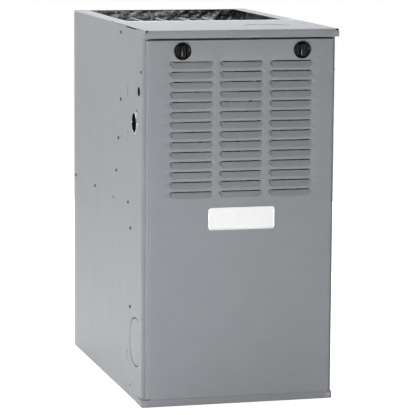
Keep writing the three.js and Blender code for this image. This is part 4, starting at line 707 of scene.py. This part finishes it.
# The grip's outlines from its foot to its crown: half width, half length, height above the door.
knob_grip = [(10.6, 15.0, 1.4), (10.6, 15.0, 1.8), (9.9, 14.6, 2.3), (7.3, 14.0, 3.4), (6.7, 13.8, 4.0),
             (6.3, 13.6, 5.2), (6.1, 13.4, 7.2), (5.9, 13.2, 8.6), (5.5, 12.9, 9.35), (3.2, 11.4, 10.35),
             (2.5, 10.8, 10.6)]
for side, name in ((-1, "left"), (1, "right")):
    at = (side * knob_x, knob_z)
    grip = []
    for half_wide, half_long, high in knob_grip:
        loop = rounded_loop(2 * half_wide, 2 * half_long, half_wide * grip_corner)
        grip.append(line(at[0] + loop[:, 0], door_y - high, at[1] + loop[:, 1]))
    foot, crown = (grip[k] * (0, 1, 0) + (at[0], 0, at[1]) for k in (0, -1))
    grip = np.array([foot] + grip + [crown])
    make_piece("knob_" + name, [turned_loop(at, knob_dish)[:, ::-1], grip], gloss_black, "knob_" + name,
               "door_knob_" + name, crease=60)

# ---- Base rail ----
# A folded strip of painted steel across the foot, with an ear round each side of the casing.
# The door's tongue drops behind its front.
rail_y, rail_head, ear_x, ear_rear, rail_bend, rail_return = -367.5, 16.5, 223.55, -317.5, 1.5, 5.2
rail_x = ear_x - rail_bend
front = line(np.linspace(-rail_x, rail_x, 14), rail_y, np.array([rail_bend, 6, 12, rail_head])[:, None])
rail = [front, fold(front[0, ::-1], (0, 0, -1), (0, 1, 0), rail_bend, rail_return)]
for side in (-1, 1):
    end = front[::-side, 0 if side < 0 else -1]
    rail.append(fold(end, (side, 0, 0), (0, 1, 0), rail_bend, ear_rear - rail_y - rail_bend))
make_piece("base_rail_front", rail, enamel, "casing", "base_rail", thick=sheet_thickness)

# ---- Screws ----
# Zinc-plated sheet-metal screws with a hexagon head on a round washer and a cross slot: two in the
# base rail, one each side under the top plate and one low on the left.
washer, hexagon, head_height = 4.0, 2.75, 2.2
cut_half, cut_reach, cut_depth = 0.42, 2.2, 0.8


def screw_head(at, outward, up):
    """Rings about the screw's axis: the washer's circle, then a hexagon whose radius is its half width
    over the cosine of the angle from its nearest flat, closed by a middle point. The cross slot sinks
    the rings near the two lines through the middle."""
    angle = np.linspace(0, 2 * np.pi, 49)
    flat = hexagon / np.cos((angle + np.pi / 6) % (np.pi / 3) - np.pi / 6)
    rings = [(0.0, 0.0), (washer, 0.0), (washer, 0.45), (washer * 0.93, 0.65), (washer * 0.86, 0.7),
             (flat, 0.75), (flat, 1.85), (flat * 0.9, 2.12)]
    rings += [(flat * part, head_height) for part in (0.72, 0.55, 0.36, 0.16)]
    across_it = np.cross(up, outward)
    rows = []
    for radius, high in rings:
        a, b = radius * np.cos(angle), radius * np.sin(angle)
        in_cut = (np.minimum(abs(a), abs(b)) < cut_half) & (np.hypot(a, b) < cut_reach)
        level = np.where(in_cut, high - cut_depth, high)
        rows.append(at + a[:, None] * across_it + b[:, None] * up + level[:, None] * outward)
    rows.append(np.broadcast_to(at + outward * (head_height - cut_depth), rows[0].shape))
    return np.array(rows)


x_axis, y_axis, z_axis = np.eye(3)
for node, at, outward in [("base_rail_screw_left", (-214, rail_y, 9), -y_axis),
                          ("base_rail_screw_right", (214, rail_y, 9), -y_axis),
                          ("top_plate_screw_left", (-half_width, -353, 836), -x_axis),
                          ("top_plate_screw_right", (half_width, -353, 836), x_axis),
                          ("panel_screw_left", (-half_width, -250.5, 29), -x_axis)]:
    head = screw_head(np.array(at), outward, z_axis)
    make_piece(node + "_head", [head], zinc, "casing", node, crease=25)

# ---- Inner walls, gas train, flue-gas fan, blower and controls ----
# Sheet parts, castings and mouldings that keep the shape they are made in: the edges are rounded by
# a press or a mould, and each has the finish of its own trade. They are all the parts that no piece
# above stands for.
galvanised = surface("galvanised_steel", (0.30, 0.31, 0.32), (0.43, 0.44, 0.45), 11, (0.34, 0.52),
                     metal=0.6, grain=3.0, relief=0.05, spangle=True)
motor_paint = surface("motor_shell_paint", (0.030, 0.032, 0.035), (0.045, 0.047, 0.05), 30, (0.4, 0.55),
                      grain=1.5, relief=0.06)
dark_enamel = surface("dark_enamel", (0.022, 0.024, 0.027), (0.036, 0.038, 0.041), 25, (0.35, 0.5),
                      grain=1.2, relief=0.04)
casting = surface("bare_casting", (0.33, 0.335, 0.34), (0.45, 0.455, 0.46), 9, (0.45, 0.62),
                  metal=0.75, grain=0.9, relief=0.12)
switch_black = surface("switch_black", (0.012, 0.012, 0.013), (0.022, 0.022, 0.023), 12, (0.45, 0.6),
                       grain=0.6, relief=0.04)
button_red = surface("button_red", (0.36, 0.012, 0.012), (0.46, 0.018, 0.016), 10, (0.32, 0.45),
                     grain=0.8, relief=0.03)
ceramic = surface("ceramic", (0.62, 0.59, 0.52), (0.74, 0.71, 0.64), 7, (0.6, 0.8),
                  grain=0.7, relief=0.07)
board_green = surface("board_green", (0.010, 0.075, 0.032), (0.016, 0.115, 0.05), 5, (0.3, 0.5),
                      grain=1.0, relief=0.08)
cable_sleeve = surface("cable_sleeve", (0.016, 0.017, 0.019), (0.028, 0.029, 0.032), 8, (0.5, 0.7),
                       grain=0.8, relief=0.08)
finish_of = {"casing_paint": enamel, "galvanised_steel": galvanised, "aluminised_steel": aluminised,
             "zinc_screw": zinc, "blower_motor_shell": motor_paint, "dark_enamel": dark_enamel,
             "valve_casting": casting, "switch_black": switch_black, "button_red": button_red,
             "ceramic": ceramic, "board_green": board_green, "cable_rubber": cable_sleeve}
nodes = frame["nodes"]
slot_of = {part["node"]: part["material_slot"] for part in frame["record"]["subparts"]}
rounding, flat_within, edge_from, smooth_to = 0.35, 0.8, 32.0, 38.0


def made_up(node):
    """The part's own shape with its loose triangles joined, its flat faces made whole and its edges
    rounded by the rounding in mm."""
    mesh = nodes[node].data.copy()
    shape = bmesh.new()
    shape.from_mesh(mesh)
    bmesh.ops.remove_doubles(shape, verts=shape.verts, dist=0.00001)
    bmesh.ops.dissolve_limit(shape, angle_limit=np.radians(flat_within), verts=shape.verts,
                             edges=shape.edges, delimit={"NORMAL"})
    shape.to_mesh(mesh)
    shape.free()
    piece = bpy.data.objects.new(node + "_made", mesh)
    bpy.context.scene.collection.objects.link(piece)
    edge = piece.modifiers.new("rounded_edges", "BEVEL")
    edge.width, edge.segments, edge.limit_method = rounding / 1000, 2, "ANGLE"
    edge.angle_limit = np.radians(edge_from)
    settle(piece)
    dress(piece, finish_of[slot_of[node]], nodes[node]["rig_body"], node, smooth_to)


for node in sorted(nodes):
    if not nodes[node].hide_render:
        made_up(node)
